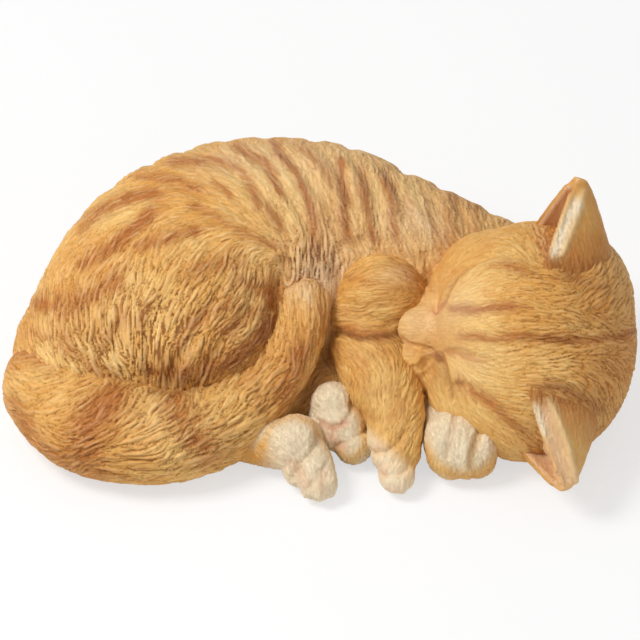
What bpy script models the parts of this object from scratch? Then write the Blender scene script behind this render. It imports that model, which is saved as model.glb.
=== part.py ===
"""Sleeping cat garden statue: cast resin pieces bonded round a hollow body shell.

The cat lies curled on its side with its back to +Y, its head at +X and its paws to -Y.
Each casting is blocked out from round masses, fused and smoothed as a sculptor works
clay, then trimmed by the larger castings it is bonded to. Lengths are in millimetres
and become metres where a mesh is made. The ground is z = 0, under the middle.
"""
import math

import bmesh
import bpy
import numpy as np
from mathutils import Matrix, Vector

MM = 0.001

# Seams and stock
SEAM = 0.3              # bond line between two castings
SHELL_WALL = 7.0        # wall of the hollow body casting
PLATE_THICKNESS = 4.0   # closing plate let into the underside
PLATE_LIP = 3.0         # shell edge left standing round the plate
PLUG_DIAMETER = 26.0    # drain plug in the plate
PLUG_DRAFT = 1.5        # how much narrower its inner end is
PAD_DIAMETER = 14.0     # stick-on rubber feet
PAD_THICKNESS = 1.5
PAD_SPREAD = 57.0       # of the two back feet, from the middle of the plate
PAD_BACK = 33.0
HEAD_PAD = (8.0, -20.0) # of the foot under the head, from the head's centre
PLATE_CENTRE = (-22.0, 16.0)

# Head
HEAD_CENTRE = (100.0, -27.0, 52.0)    # on the middle plane of the face
HEAD_ROLL = 38.0        # the crown leans towards the viewer by this many degrees
HEAD_SAG = 6.5          # the skull spreads towards the cheek it lies on
SKULL_LENGTH = 52.0     # half sizes
SKULL_WIDTH = 61.0
SKULL_HEIGHT = 46.0
BROW_REACH = 47.0       # half length of the forehead's dome
MUZZLE_REACH = 42.0     # muzzle centre ahead of the head's centre
MUZZLE_WIDTH = 24.0
EAR_LENGTH = 55.0       # with the root that is buried in the skull
EAR_ROOT = 17.0         # buried length
EAR_WIDTH = 50.0        # across the cup at the buried root
EAR_DEPTH = 45.0        # from the cup's open side to its back
EAR_WALL = 5.0
EAR_WRAP = 215.0        # how far round the cone the shell reaches, in degrees
EAR_TIP_RADIUS = 1.5
EARS = {                # side of the head, root ahead of the head's centre, backward lean
    "ear_far": (1.0, -20.0, 0.27),
    "ear_near": (-1.0, -13.0, 0.26),
}
EAR_SPREAD = 0.74       # place of the ear root across the half skull

# Limbs and tail
TAIL_ROOT_RADIUS = 26.5
TAIL_TIP_RADIUS = 12.0
FORELEG_RADIUS = 21.0
FORE_PAW_WIDTH = 28.0
CHIN_PAW_WIDTH = 40.0
HIND_PAW_WIDTH = 30.0
FAR_PAW_WIDTH = 33.0

# Clay work
SLAB_REACH = 900.0      # cutters that must pass right through the statue
FINE_VOXEL = 1.6        # small castings
BODY_VOXEL = 3.0
BODY_FACES = 3900       # triangles left on each casting
CAVITY_FACES = 600
HEAD_FACES = 2450
EAR_FACES = 500
TAIL_FACES = 1100
LEG_FACES = 850
PAW_FACES = 650

BASE = PAD_THICKNESS + SEAM     # underside of every casting

# Trunk masses from the rump round the back to the neck: x, y, z, radius
SPINE = [
    (-114.0, -26.0, 32.0, 41.0),
    (-97.0, 2.0, 41.0, 47.0),
    (-76.0, 23.0, 48.0, 51.5),
    (-50.0, 34.0, 52.0, 52.0),
    (-23.0, 38.0, 53.0, 51.5),
    (5.0, 42.0, 52.0, 46.5),
    (33.0, 35.0, 45.0, 41.0),
    (55.0, 29.0, 41.0, 40.5),
    (76.0, 28.0, 38.0, 33.5),
    (97.0, 22.0, 34.0, 28.0),
    (113.0, 3.0, 33.0, 26.0),
]
# Flank, belly, near thigh, shoulder and chest: centre, half sizes
FLANKS = [
    ((-20.0, 30.0, 30.0), (108.0, 56.0, 46.0)),
    ((-28.0, 0.0, 12.0), (104.0, 54.0, 24.0)),
    ((-76.0, -10.0, 40.0), (60.0, 50.0, 50.0)),
    ((34.0, 8.0, 40.0), (32.0, 27.0, 32.0)),
    ((60.0, -22.0, 13.0), (34.0, 36.0, 20.0)),
]
# Tail from its root at the rump to the tip on the thigh: x, y, z, share of the way to the tip radius
TAIL_ROUTE = [
    (-134.0, -44.0, 27.0, 0.0),
    (-125.5, -64.0, 26.5, 0.0),
    (-104.0, -73.5, 26.0, 0.0),
    (-80.0, -77.0, 24.0, 0.2),
    (-60.0, -71.0, 22.5, 0.3),
    (-42.0, -60.0, 24.0, 0.45),
    (-28.0, -47.0, 30.0, 0.68),
    (-18.0, -37.0, 38.0, 0.80),
    (-11.0, -29.0, 48.5, 0.88),
    (-7.5, -21.0, 55.5, 0.96),
    (-7.0, -16.0, 59.5, 1.0),
]
# Carved relief. A furrow is its depth, its half width and a line of places (across, rise) as seen
# from the front above, where rise is y + z; a negative depth raises a ridge
FRONT = (0.0, -0.707, 0.707)
BACK = (0.0, 1.0, 0.0)
BODY_FURROWS = [
    # folds round the thigh, at the neck and over the arm
    (2.4, 7.0, [(-66, 113), (-54, 105), (-37, 92), (-24, 84), (-15, 80)]),
    (2.6, 6.0, [(-18, 77), (-21, 66), (-22, 53), (-24, 37)]),
    (1.8, 5.5, [(-108, 99), (-82, 101), (-64, 94), (-48, 84)]),
    (1.8, 5.0, [(53, 81), (57, 69), (55, 53)]),
    (1.8, 5.0, [(5, 73), (13, 84), (26, 90), (41, 89)]),
    # partings of the coat from the top of the back to the flank and shoulder
    (1.7, 5.0, [(-75, 130), (-50, 116), (-29, 98), (-14, 86)]),
    (1.7, 5.0, [(-64, 152), (-40, 135), (-22, 111), (-15, 91)]),
    (1.7, 5.0, [(-41, 158), (-22, 135), (-10, 111), (-3, 86)]),
    (1.7, 5.0, [(-22, 158), (-9, 140), (4, 116), (8, 91)]),
    (1.7, 5.0, [(1, 156), (11, 137), (16, 114), (18, 93)]),
    (1.7, 5.0, [(16, 150), (25, 131), (30, 110), (33, 93)]),
    (1.7, 5.0, [(33, 143), (40, 124), (46, 101)]),
    (1.7, 5.0, [(50, 133), (57, 117), (62, 92)]),
    (1.7, 5.0, [(67, 124), (72, 109), (74, 89)]),
    # arcs round the rump
    (1.7, 5.0, [(-110, 124), (-92, 139), (-74, 148)]),
    (1.7, 5.0, [(-150, 46), (-140, 73), (-121, 103), (-97, 123), (-81, 129)]),
    (1.7, 5.0, [(-139, 35), (-130, 56), (-114, 78), (-91, 89)]),
    (1.7, 5.0, [(-124, 21), (-115, 46), (-99, 67), (-78, 76), (-58, 73)]),
    # fan of the thigh
    (1.7, 5.0, [(-102, 0), (-105, 21), (-100, 42), (-91, 56)]),
    (1.7, 5.0, [(-86, -17), (-88, 10), (-83, 35), (-73, 53)]),
    (1.7, 5.0, [(-78, -16), (-68, 10), (-58, 35), (-48, 56)]),
    (1.7, 5.0, [(-61, -10), (-49, 14), (-39, 35), (-32, 56)]),
]
BACK_STARTS = (-131, -112, -90, -72, -49, -30, -7, 11, 34, 51, 73)  # partings down the back, (across, height)
BACK_RUN = [(0, 94), (9, 72), (20, 44), (34, 14)]
BACK_DEPTH = 1.7
BACK_HALF_WIDTH = 5.0
FURROW_FADE = 0.15      # share of its length over which a furrow comes in
FURROW_FACING = (0.20, 0.60)    # how squarely the clay faces the viewer where a furrow starts and is full
HEAD_FURROWS = [
    # eyes, each a crease under a lid and a brow
    (3.0, 3.6, [(58, 37), (62, 45), (64, 52), (69, 64), (74, 69), (80, 74), (88, 77)]),
    (-1.4, 5.0, [(65, 41), (67, 51), (71, 61), (77, 67), (84, 71)]),
    (3.0, 3.6, [(57, 8), (60, 4), (62, -3), (64, -14), (66, -27)]),
    (-1.3, 5.0, [(65, 9), (66, -1), (69, -14)]),
    # mouth, upper lip, crown and the near brow
    (1.5, 3.2, [(39, 19), (44, 14), (52, 11), (58, 9)]),
    (1.5, 3.2, [(40, 2), (44, -4), (51, -2), (56, 6)]),
    (1.8, 4.5, [(101, 19), (121, 16), (141, 17), (159, 24)]),
    (1.6, 4.5, [(69, -13), (78, -19), (87, -31)]),
    (1.4, 4.5, [(63, 10), (70, 8), (78, 4)]),
    (-1.4, 8.0, [(56, 50), (59, 57), (62, 66)]),
]


def link(obj, collection):
    """Put an object in one collection of the model."""
    collection.objects.link(obj)
    return obj


def add_mass(bm, centre, radii, turn=None):
    """Add one ellipsoid to the clay; turn is a 3x3 matrix of its axes."""
    placed = Matrix.Translation(Vector(centre) * MM)
    if turn is not None:
        placed = placed @ turn.to_4x4()
    placed = placed @ Matrix.Diagonal((*[r * MM for r in radii], 1.0))
    bmesh.ops.create_uvsphere(bm, u_segments=40, v_segments=24, radius=1.0, matrix=placed)


def evaluated_mesh(obj):
    """Return a new mesh of the object with its modifiers applied."""
    depsgraph = bpy.context.evaluated_depsgraph_get()
    depsgraph.update()
    return bpy.data.meshes.new_from_object(obj.evaluated_get(depsgraph))


def bake(obj):
    """Replace the object's mesh by its modified one."""
    mesh = evaluated_mesh(obj)
    obj.modifiers.clear()
    obj.data = mesh
    return obj


def add_limb(bm, points, radii, bench):
    """Add a smooth round limb through the points, drawn as a curve with a bevel."""
    curve = bpy.data.curves.new("limb", "CURVE")
    curve.dimensions = "3D"
    curve.bevel_depth = MM
    curve.bevel_resolution = 6
    curve.use_fill_caps = True
    spline = curve.splines.new("NURBS")
    spline.points.add(len(points) - 1)
    for knot, point, radius in zip(spline.points, points, radii):
        knot.co = (*[c * MM for c in point], 1.0)
        knot.radius = radius
    spline.order_u = 3
    spline.use_endpoint_u = True
    spline.resolution_u = 6
    limb = link(bpy.data.objects.new("limb", curve), bench)
    mesh = evaluated_mesh(limb)
    bm.from_mesh(mesh)
    bmesh.ops.remove_doubles(bm, verts=bm.verts, dist=1e-6)
    bpy.data.objects.remove(limb)
    add_mass(bm, points[0], [radii[0]] * 3)
    add_mass(bm, points[-1], [radii[-1]] * 3)


def thin_out(obj, faces):
    """Collapse the mesh to about this many triangles."""
    triangles = sum(len(p.vertices) - 2 for p in obj.data.polygons)
    if triangles > faces:
        decimate = obj.modifiers.new("thin_out", "DECIMATE")
        decimate.ratio = faces / triangles
        decimate.use_collapse_triangulate = True
        bake(obj)
    return obj


def line_gap(spots, line):
    """Return each spot's distance to a line of places, and its share of the way along it."""
    line = np.array(line, float)
    lengths = np.linalg.norm(np.diff(line, axis=0), axis=1)
    gaps = np.full(len(spots), np.inf)
    along = np.zeros(len(spots))
    done = 0.0
    for start, end, length in zip(line, line[1:], lengths):
        way = (end - start) / length
        run = np.clip((spots - start) @ way, 0.0, length)
        gap = np.linalg.norm(spots - start - run[:, None] * way, axis=1)
        along = np.where(gap < gaps, (done + run) / lengths.sum(), along)
        gaps = np.minimum(gap, gaps)
        done += length
    return gaps, along


def carve(obj, furrows, toward):
    """Press furrows into the side of the clay that faces one way, fading out at their ends."""
    count = len(obj.data.vertices)
    points, normals = np.empty(count * 3), np.empty(count * 3)
    obj.data.vertices.foreach_get("co", points)
    obj.data.vertices.foreach_get("normal", normals)
    points, normals = points.reshape(-1, 3), normals.reshape(-1, 3)
    rise = points[:, 2] + points[:, 1] * (toward == FRONT)
    spots = np.stack([points[:, 0], rise], axis=1) / MM
    depth = np.zeros(count)
    for deep, half_width, line in furrows:
        gap, along = line_gap(spots, line)
        ends = np.clip(np.minimum(along, 1.0 - along) / FURROW_FADE, 0.0, 1.0)
        depth += deep * np.clip(1.0 - (gap / half_width) ** 2, 0.0, 1.0) ** 1.5 * ends ** 0.5
    low, high = FURROW_FACING
    share = np.clip((normals @ np.array(toward) - low) / (high - low), 0.0, 1.0)
    points -= normals * (depth * share * MM)[:, None]
    obj.data.vertices.foreach_set("co", points.ravel())
    obj.data.update()


def fuse(name, bm, collection, voxel, smoothing, faces, reliefs=()):
    """Fuse overlapping masses into one skin, smooth it, carve its relief and thin it out."""
    mesh = bpy.data.meshes.new(name)
    bm.to_mesh(mesh)
    bm.free()
    obj = link(bpy.data.objects.new(name, mesh), collection)
    remesh = obj.modifiers.new("fuse", "REMESH")
    remesh.mode = "VOXEL"
    remesh.voxel_size = voxel * MM
    smooth = obj.modifiers.new("smooth", "SMOOTH")
    smooth.factor = 0.5
    smooth.iterations = smoothing
    bake(obj)
    for furrows, toward in reliefs:
        carve(obj, furrows, toward)
    return thin_out(obj, faces)


def keep_largest(obj):
    """Throw away the crumbs that a trim leaves beside the casting."""
    bm = bmesh.new()
    bm.from_mesh(obj.data)
    bm.verts.ensure_lookup_table()
    seen, islands = set(), []
    for start in bm.verts:
        if start in seen:
            continue
        island, todo = [], [start]
        seen.add(start)
        while todo:
            vert = todo.pop()
            island.append(vert)
            for edge in vert.link_edges:
                other = edge.other_vert(vert)
                if other not in seen:
                    seen.add(other)
                    todo.append(other)
        islands.append(island)
    islands.sort(key=len)
    crumbs = [vert for island in islands[:-1] for vert in island]
    bmesh.ops.delete(bm, geom=crumbs, context="VERTS")
    bm.to_mesh(obj.data)
    bm.free()
    return obj


def trim(obj, cutter, operation="DIFFERENCE"):
    """Cut the object by another closed shape."""
    boolean = obj.modifiers.new("trim", "BOOLEAN")
    boolean.operation = operation
    boolean.solver = "EXACT"
    boolean.object = cutter
    bake(obj)
    return keep_largest(obj)


def grown(obj, distance, bench):
    """Return a cutter: the object's shape moved outwards by a distance in millimetres."""
    cutter = link(bpy.data.objects.new(obj.name + "_cutter", obj.data.copy()), bench)
    swell = cutter.modifiers.new("swell", "DISPLACE")
    swell.strength = distance * MM
    swell.mid_level = 0.0
    return as_cutter(bake(cutter))


def as_cutter(obj):
    """Mark an object as a cutter, which is no part of the statue."""
    obj.hide_render = True
    obj.display_type = "WIRE"
    return obj


def block(name, low, high, bench):
    """Return a box cutter between two heights that is wider than the statue."""
    bm = bmesh.new()
    reach = SLAB_REACH * MM
    middle = (low + high) / 2.0 * MM
    size = Matrix.Translation((0.0, 0.0, middle)) @ Matrix.Diagonal((reach, reach, (high - low) * MM, 1.0))
    bmesh.ops.create_cube(bm, size=1.0, matrix=size)
    mesh = bpy.data.meshes.new(name)
    bm.to_mesh(mesh)
    bm.free()
    return as_cutter(link(bpy.data.objects.new(name, mesh), bench))


def disc(name, centre, radius, low, high, collection, taper=0.0, segments=32):
    """Return an upright disc; taper narrows its top."""
    bm = bmesh.new()
    place = Matrix.Translation((centre[0] * MM, centre[1] * MM, (low + high) / 2.0 * MM))
    bmesh.ops.create_cone(bm, cap_ends=True, segments=segments, radius1=radius * MM,
                          radius2=(radius - taper) * MM, depth=(high - low) * MM, matrix=place)
    mesh = bpy.data.meshes.new(name)
    bm.to_mesh(mesh)
    bm.free()
    return link(bpy.data.objects.new(name, mesh), collection)


def paint(obj, colour, roughness):
    """Give the object its own plain material."""
    material = bpy.data.materials.new(obj.name + "_finish")
    material.use_nodes = True
    shader = material.node_tree.nodes["Principled BSDF"]
    shader.inputs["Base Color"].default_value = (*colour, 1.0)
    shader.inputs["Roughness"].default_value = roughness
    shader.inputs["Metallic"].default_value = 0.0
    obj.data.materials.clear()
    obj.data.materials.append(material)
    obj.data.shade_smooth()
    obj.data.set_sharp_from_angle(angle=math.radians(40.0))


def body_clay(inset, bench):
    """Return the trunk's masses, each drawn in by the inset."""
    bm = bmesh.new()
    add_limb(bm, [mass[:3] for mass in SPINE], [mass[3] - inset for mass in SPINE], bench)
    for centre, radii in FLANKS:
        add_mass(bm, centre, [radius - inset for radius in radii])
    return bm


def head_axes():
    """Return the head's forward, far side and crown directions as matrix columns."""
    roll = math.radians(HEAD_ROLL)
    forward = Vector((-1.0, 0.0, 0.0))
    far_side = Vector((0.0, math.cos(roll), math.sin(roll)))
    crown = Vector((0.0, -math.sin(roll), math.cos(roll)))
    return Matrix((forward, far_side, crown)).transposed()


def head_point(forward, far_side, crown):
    """Return a place on the head in the statue's frame."""
    return Vector(HEAD_CENTRE) + head_axes() @ Vector((forward, far_side, crown))


def add_head_mass(bm, place, radii):
    """Add one ellipsoid given in the head's own directions."""
    add_mass(bm, head_point(*place), radii, head_axes())


def make_head(parts, ground):
    """Skull, brow, cheeks, muzzle, nose and chin in one casting."""
    bm = bmesh.new()
    add_head_mass(bm, (-8.0, -HEAD_SAG, 0.0), (SKULL_LENGTH, SKULL_WIDTH, SKULL_HEIGHT))
    add_head_mass(bm, (-28.0, 8.0, 0.0), (31.0, 43.0, 38.0))
    add_head_mass(bm, (-5.0, 0.0, 8.0), (BROW_REACH, 45.0, 41.0))
    for side in (1.0, -1.0):
        add_head_mass(bm, (12.0 - 2.0 * side, side * 0.45 * SKULL_WIDTH - 0.5 * HEAD_SAG, -6.0), (32.0, 27.0, 29.0))
        add_head_mass(bm, (MUZZLE_REACH + 3.0, side * 0.42 * MUZZLE_WIDTH, -12.0),
                      (14.0, 0.56 * MUZZLE_WIDTH, 12.0))
    add_head_mass(bm, (MUZZLE_REACH - 10.0, -2.0, -8.0), (24.0, 1.1 * MUZZLE_WIDTH, 19.0))
    add_head_mass(bm, (MUZZLE_REACH, 0.0, 1.0), (19.0, 0.55 * MUZZLE_WIDTH, 11.0))
    add_head_mass(bm, (MUZZLE_REACH - 14.0, 0.0, 6.0), (20.0, 0.50 * MUZZLE_WIDTH, 12.0))
    add_head_mass(bm, (MUZZLE_REACH - 2.0, 0.0, -23.0), (13.0, 0.42 * MUZZLE_WIDTH, 9.0))
    add_mass(bm, (98.0, -68.0, 20.0), (16.0, 14.0, 16.0))
    head = fuse("head", bm, parts, FINE_VOXEL, 8, HEAD_FACES, [(HEAD_FURROWS, FRONT)])
    return trim(head, ground)


def make_ear(name, side, ahead, lean, parts):
    """One ear: half a hollow cone whose root is buried in the skull."""
    rows = 7
    sweep_angle = math.radians(EAR_WRAP)
    bm = bmesh.new()
    profile = []
    for row in range(rows):
        way = row / (rows - 1)
        radius = EAR_TIP_RADIUS + (0.5 * EAR_WIDTH - EAR_TIP_RADIUS) * (1.0 - way) ** 0.85
        profile.append(bm.verts.new((radius * MM, 0.0, EAR_LENGTH * way * MM)))
    for upper, lower in zip(profile[::-1], profile[-2::-1]):
        bm.edges.new((upper, lower))
    mesh = bpy.data.meshes.new(name)
    bm.to_mesh(mesh)
    bm.free()
    ear = link(bpy.data.objects.new(name, mesh), parts)
    sweep = ear.modifiers.new("sweep", "SCREW")
    sweep.angle = sweep_angle
    sweep.steps = sweep.render_steps = 18
    sweep.merge_threshold = 0.00001
    bake(ear)
    turn_to_front = Matrix.Rotation(math.pi - 0.5 * sweep_angle, 4, "Z")
    cone_depth = 0.5 * EAR_WIDTH * (1.0 - math.cos(0.5 * sweep_angle))
    flatten = Matrix.Diagonal((EAR_DEPTH / cone_depth, 1.0, 1.0, 1.0))
    ear.data.transform(flatten @ turn_to_front)
    shell = ear.modifiers.new("shell", "SOLIDIFY")
    shell.thickness = EAR_WALL * MM
    shell.offset = 0.0
    round_off = ear.modifiers.new("round_off", "REMESH")
    round_off.mode = "VOXEL"
    round_off.voxel_size = 0.5 * FINE_VOXEL * MM
    soften = ear.modifiers.new("soften", "SMOOTH")
    soften.iterations = 10
    bake(ear)
    root = head_point(ahead, side * EAR_SPREAD * SKULL_WIDTH - HEAD_SAG, 20.0)
    axes = head_axes()
    rise = (axes @ Vector((-lean, side * 0.86, 0.38))).normalized()
    front = axes @ Vector((0.93, side * 0.10, 0.30))
    front = (front - front.dot(rise) * rise).normalized()
    across = rise.cross(front)
    placed = Matrix((front, across, rise)).transposed().to_4x4()
    buried = root - rise * EAR_ROOT
    ear.data.transform(Matrix.Translation(buried * MM) @ placed)
    return thin_out(ear, EAR_FACES)


def make_tail(parts, bench):
    """Tail along the front of the rump, curling up to a blunt tip on the thigh."""
    bm = bmesh.new()
    points = [point[:3] for point in TAIL_ROUTE]
    radii = [TAIL_ROOT_RADIUS + (TAIL_TIP_RADIUS - TAIL_ROOT_RADIUS) * point[3] for point in TAIL_ROUTE]
    add_limb(bm, points, radii, bench)
    return fuse("tail", bm, parts, FINE_VOXEL, 6, TAIL_FACES)


def make_foreleg(parts, bench):
    """Near foreleg: upper arm, forearm and its paw."""
    bm = bmesh.new()
    half = 0.5 * FORE_PAW_WIDTH
    add_mass(bm, (31.0, -5.0, 49.0), (24.5, 21.0, 28.0))
    add_mass(bm, (17.5, -12.0, 45.0), (14.5, 14.0, 17.0))
    add_limb(bm, [(25.0, -25.0, 36.0), (30.0, -42.0, 31.0), (39.5, -59.0, 24.0), (38.5, -76.0, 15.5)],
             [FORELEG_RADIUS - 1.0, FORELEG_RADIUS - 0.5, FORELEG_RADIUS - 5.5, half - 1.0], bench)
    add_mass(bm, (32.5, -71.0, 18.0), (0.66 * half, 0.7 * half, 0.62 * half))
    for shift, ahead in ((-0.58, 0.0), (-0.20, 5.0), (0.20, 5.5), (0.56, 1.0)):
        add_mass(bm, (39.5 + shift * half, -87.0 - ahead, 9.5), (0.26 * half, 0.62 * half, 0.54 * half))
    return fuse("foreleg", bm, parts, FINE_VOXEL, 5, LEG_FACES)


def make_chin_paw(parts):
    """The other forepaw, folded under the chin with its toes towards the viewer."""
    bm = bmesh.new()
    half = 0.5 * CHIN_PAW_WIDTH
    add_mass(bm, (70.0, -72.0, 17.5), (half - 2.0, half - 1.0, half - 3.0))
    add_mass(bm, (68.0, -56.0, 16.0), (half - 3.0, half + 3.0, half - 5.0))
    for shift, back, width in ((-0.44, 3.5, 0.40), (0.18, 0.0, 0.35), (0.70, 3.5, 0.29)):
        add_mass(bm, (70.0 + shift * half, -80.5 + back, 17.0), (width * half, 0.62 * half, 0.74 * half))
    return fuse("chin_paw", bm, parts, FINE_VOXEL, 4, PAW_FACES)


def make_hind_leg(parts, bench):
    """Near hind foot reaching out from under the tail."""
    bm = bmesh.new()
    half = 0.5 * HIND_PAW_WIDTH
    add_limb(bm, [(-42.0, -65.0, 15.0), (-28.0, -70.0, 14.5), (-15.0, -75.0, 17.0)],
             [half - 2.0, half - 2.0, half - 2.0], bench)
    add_mass(bm, (-12.0, -74.0, 19.5), (half - 1.5, half - 1.5, half - 1.5))
    add_limb(bm, [(-10.0, -76.0, 17.0), (-1.5, -86.0, 13.5), (0.0, -93.0, 10.5)],
             [half - 3.5, half - 4.0, half - 7.0], bench)
    for shift, ahead in ((-0.44, 0.0), (-0.04, 3.0), (0.32, -0.5)):
        add_mass(bm, (shift * half, -95.0 - ahead, 10.0), (0.33 * half, 0.56 * half, 0.50 * half))
    return fuse("hind_leg_near", bm, parts, FINE_VOXEL, 4, LEG_FACES)


def make_far_paw(parts):
    """Far hind paw between the near one and the foreleg, toes to the right."""
    bm = bmesh.new()
    half = 0.5 * FAR_PAW_WIDTH
    add_mass(bm, (8.0, -55.0, 16.0), (half - 2.5, 19.0, 13.0))
    for place, size in (((6.5, -51.0, 22.5), 0.70), ((13.0, -61.0, 16.5), 0.66), ((17.0, -69.5, 11.5), 0.60)):
        add_mass(bm, place, (size * half, size * half, size * half))
    return fuse("hind_paw_far", bm, parts, FINE_VOXEL, 4, PAW_FACES)


def make_base(body, parts, bench):
    """Hollow the body from below and close it with a plate, its drain plug and rubber feet."""
    cavity = fuse("cavity", body_clay(SHELL_WALL, bench), bench, BODY_VOXEL, 6, CAVITY_FACES)
    trim(body, as_cutter(cavity))

    plate_top = BASE + PLATE_THICKNESS
    plate = fuse("base_plate", body_clay(PLATE_LIP, bench), parts, BODY_VOXEL, 6, CAVITY_FACES)
    rebate = grown(plate, SEAM, bench)
    trim(rebate, block("rebate_slab", -20.0, plate_top + SEAM, bench), "INTERSECT")
    trim(body, rebate)
    trim(plate, block("plate_slab", BASE, plate_top, bench), "INTERSECT")

    hole = disc("plug_hole", PLATE_CENTRE, 0.5 * PLUG_DIAMETER + SEAM, BASE - 1.0, plate_top + 1.0, bench)
    trim(plate, as_cutter(hole))
    disc("drain_plug", PLATE_CENTRE, 0.5 * PLUG_DIAMETER, BASE, plate_top, parts, 0.5 * PLUG_DRAFT)
    feet = {
        "foot_pad_head": (HEAD_CENTRE[0] + HEAD_PAD[0], HEAD_CENTRE[1] + HEAD_PAD[1]),
        "foot_pad_tail": TAIL_ROUTE[2][:2],
        "foot_pad_back_left": (PLATE_CENTRE[0] - PAD_SPREAD, PLATE_CENTRE[1] + PAD_BACK),
        "foot_pad_back_right": (PLATE_CENTRE[0] + PAD_SPREAD, PLATE_CENTRE[1] + PAD_BACK),
    }
    for name, centre in feet.items():
        disc(name, centre, 0.5 * PAD_DIAMETER, 0.0, PAD_THICKNESS, parts)


def settle(parts):
    """Bring the middle of the statue's outline over the origin."""
    corners = [obj.matrix_world @ vert.co for obj in parts.objects for vert in obj.data.vertices]
    middle = [(min(c[i] for c in corners) + max(c[i] for c in corners)) / 2.0 for i in range(2)]
    for obj in parts.objects:
        obj.data.transform(Matrix.Translation((-middle[0], -middle[1], 0.0)))


def make_statue():
    """Model every casting and trim each one by the larger ones it is bonded to."""
    for obj in list(bpy.data.objects):
        bpy.data.objects.remove(obj)
    parts = bpy.data.collections.new("sleeping_cat_statue")
    bench = bpy.data.collections.new("cutters")
    bpy.context.scene.collection.children.link(parts)
    bpy.context.scene.collection.children.link(bench)

    ground = block("ground", -SLAB_REACH, BASE, bench)
    back_furrows = [(BACK_DEPTH, BACK_HALF_WIDTH, [(start + along, height) for along, height in BACK_RUN])
                    for start in BACK_STARTS]
    body = fuse("body_shell", body_clay(0.0, bench), parts, BODY_VOXEL, 14, BODY_FACES,
                [(BODY_FURROWS, FRONT), (back_furrows, BACK)])
    body_form = grown(body, SEAM, bench)
    trim(body, ground)

    head = make_head(parts, ground)
    head_form = grown(head, SEAM, bench)
    trim(head, body_form)
    tail = make_tail(parts, bench)
    tail_form = grown(tail, SEAM, bench)
    foreleg = make_foreleg(parts, bench)
    foreleg_form = grown(foreleg, SEAM, bench)
    hind_leg = make_hind_leg(parts, bench)
    hind_leg_form = grown(hind_leg, SEAM, bench)
    far_paw = make_far_paw(parts)
    chin_paw = make_chin_paw(parts)

    for piece, neighbours in (
            (tail, (body_form,)),
            (foreleg, (body_form, tail_form, head_form)),
            (hind_leg, (body_form, tail_form)),
            (far_paw, (body_form, tail_form, hind_leg_form, foreleg_form)),
            (chin_paw, (body_form, head_form, foreleg_form))):
        trim(piece, ground)
        for neighbour in neighbours:
            trim(piece, neighbour)
    for name in EARS:
        ear = make_ear(name, *EARS[name], parts)
        trim(ear, head_form)
        trim(ear, body_form)
        trim(ear, ground)

    make_base(body, parts, bench)
    settle(parts)
    ginger, cream = (0.62, 0.36, 0.12), (0.75, 0.60, 0.38)
    finishes = {"base_plate": ((0.55, 0.53, 0.50), 0.8), "drain_plug": ((0.05, 0.05, 0.05), 0.6)}
    for obj in parts.objects:
        colour, roughness = ginger, 0.55
        if "paw" in obj.name:
            colour = cream
        if "foot_pad" in obj.name:
            colour, roughness = (0.04, 0.04, 0.04), 0.9
        colour, roughness = finishes.get(obj.name, (colour, roughness))
        paint(obj, colour, roughness)


make_statue()
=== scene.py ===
# Sleeping cat garden statue, dressed around its packed castings.
# Each casting is sculpted again at a finer grain, its fur is carved lock by lock,
# and the tabby paint follows the locks. Sculpting is done in millimetres.
import math

import bmesh
import bpy
import numpy as np
from mathutils import Matrix, Vector


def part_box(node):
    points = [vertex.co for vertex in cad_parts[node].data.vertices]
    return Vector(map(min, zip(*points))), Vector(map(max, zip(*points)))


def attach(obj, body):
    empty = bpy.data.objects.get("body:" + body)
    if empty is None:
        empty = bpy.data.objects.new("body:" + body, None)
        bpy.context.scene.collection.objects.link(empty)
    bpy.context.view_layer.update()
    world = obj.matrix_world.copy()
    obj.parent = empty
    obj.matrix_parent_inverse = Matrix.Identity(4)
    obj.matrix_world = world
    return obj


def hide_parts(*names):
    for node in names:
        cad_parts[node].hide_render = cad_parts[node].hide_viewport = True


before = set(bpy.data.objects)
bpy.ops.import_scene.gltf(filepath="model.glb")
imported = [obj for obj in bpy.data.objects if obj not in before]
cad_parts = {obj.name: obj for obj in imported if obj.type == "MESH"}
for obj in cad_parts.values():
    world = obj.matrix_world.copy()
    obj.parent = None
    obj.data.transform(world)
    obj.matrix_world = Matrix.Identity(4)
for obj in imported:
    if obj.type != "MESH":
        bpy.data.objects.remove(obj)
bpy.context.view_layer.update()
mm = 0.001

# How a place on the statue falls on the photograph, in pixels of its square frame
photo = {"size": 640.0, "perMm": 1.98, "perMmUp": 1.4, "middle": 320.0, "ground": 364.0}
lookFrom = np.array((0.0, -math.sqrt(0.5), math.sqrt(0.5)))   # towards the camera
pictureUp = np.array((0.0, math.sqrt(0.5), math.sqrt(0.5)))

# The statue is sculpted about the plate's middle, so its place comes from a foot
footPlace = (-79.0, 49.0)
footLow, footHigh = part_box("foot_pad_back_left")
place = np.array(((footLow.x + footHigh.x) / 2.0 - footPlace[0] * mm,
                  (footLow.y + footHigh.y) / 2.0 - footPlace[1] * mm, 0.0))
baseHeight = footHigh.z / mm + 0.3      # underside of every casting
coarser = 1.0         # bigger grain while trying things
print("frame loaded, statue placed at", [round(float(c) / mm, 2) for c in place])


def roundLump(rings=40, sides=64):
    # The pattern of every ball: its points and faces
    points = [(0.0, 0.0, 1.0), (0.0, 0.0, -1.0)]
    for ring in range(1, rings):
        tilt = math.pi * ring / rings
        for side in range(sides):
            turn = 2.0 * math.pi * side / sides
            points.append((math.sin(tilt) * math.cos(turn), math.sin(tilt) * math.sin(turn), math.cos(tilt)))
    faces = []
    last = 2 + (rings - 2) * sides
    for side in range(sides):
        beside = (side + 1) % sides
        faces.append((0, 2 + side, 2 + beside))
        faces.append((1, last + beside, last + side))
        for ring in range(rings - 2):
            row = 2 + ring * sides
            faces.append((row + side, row + sides + side, row + sides + beside, row + beside))
    return np.array(points), faces


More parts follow.
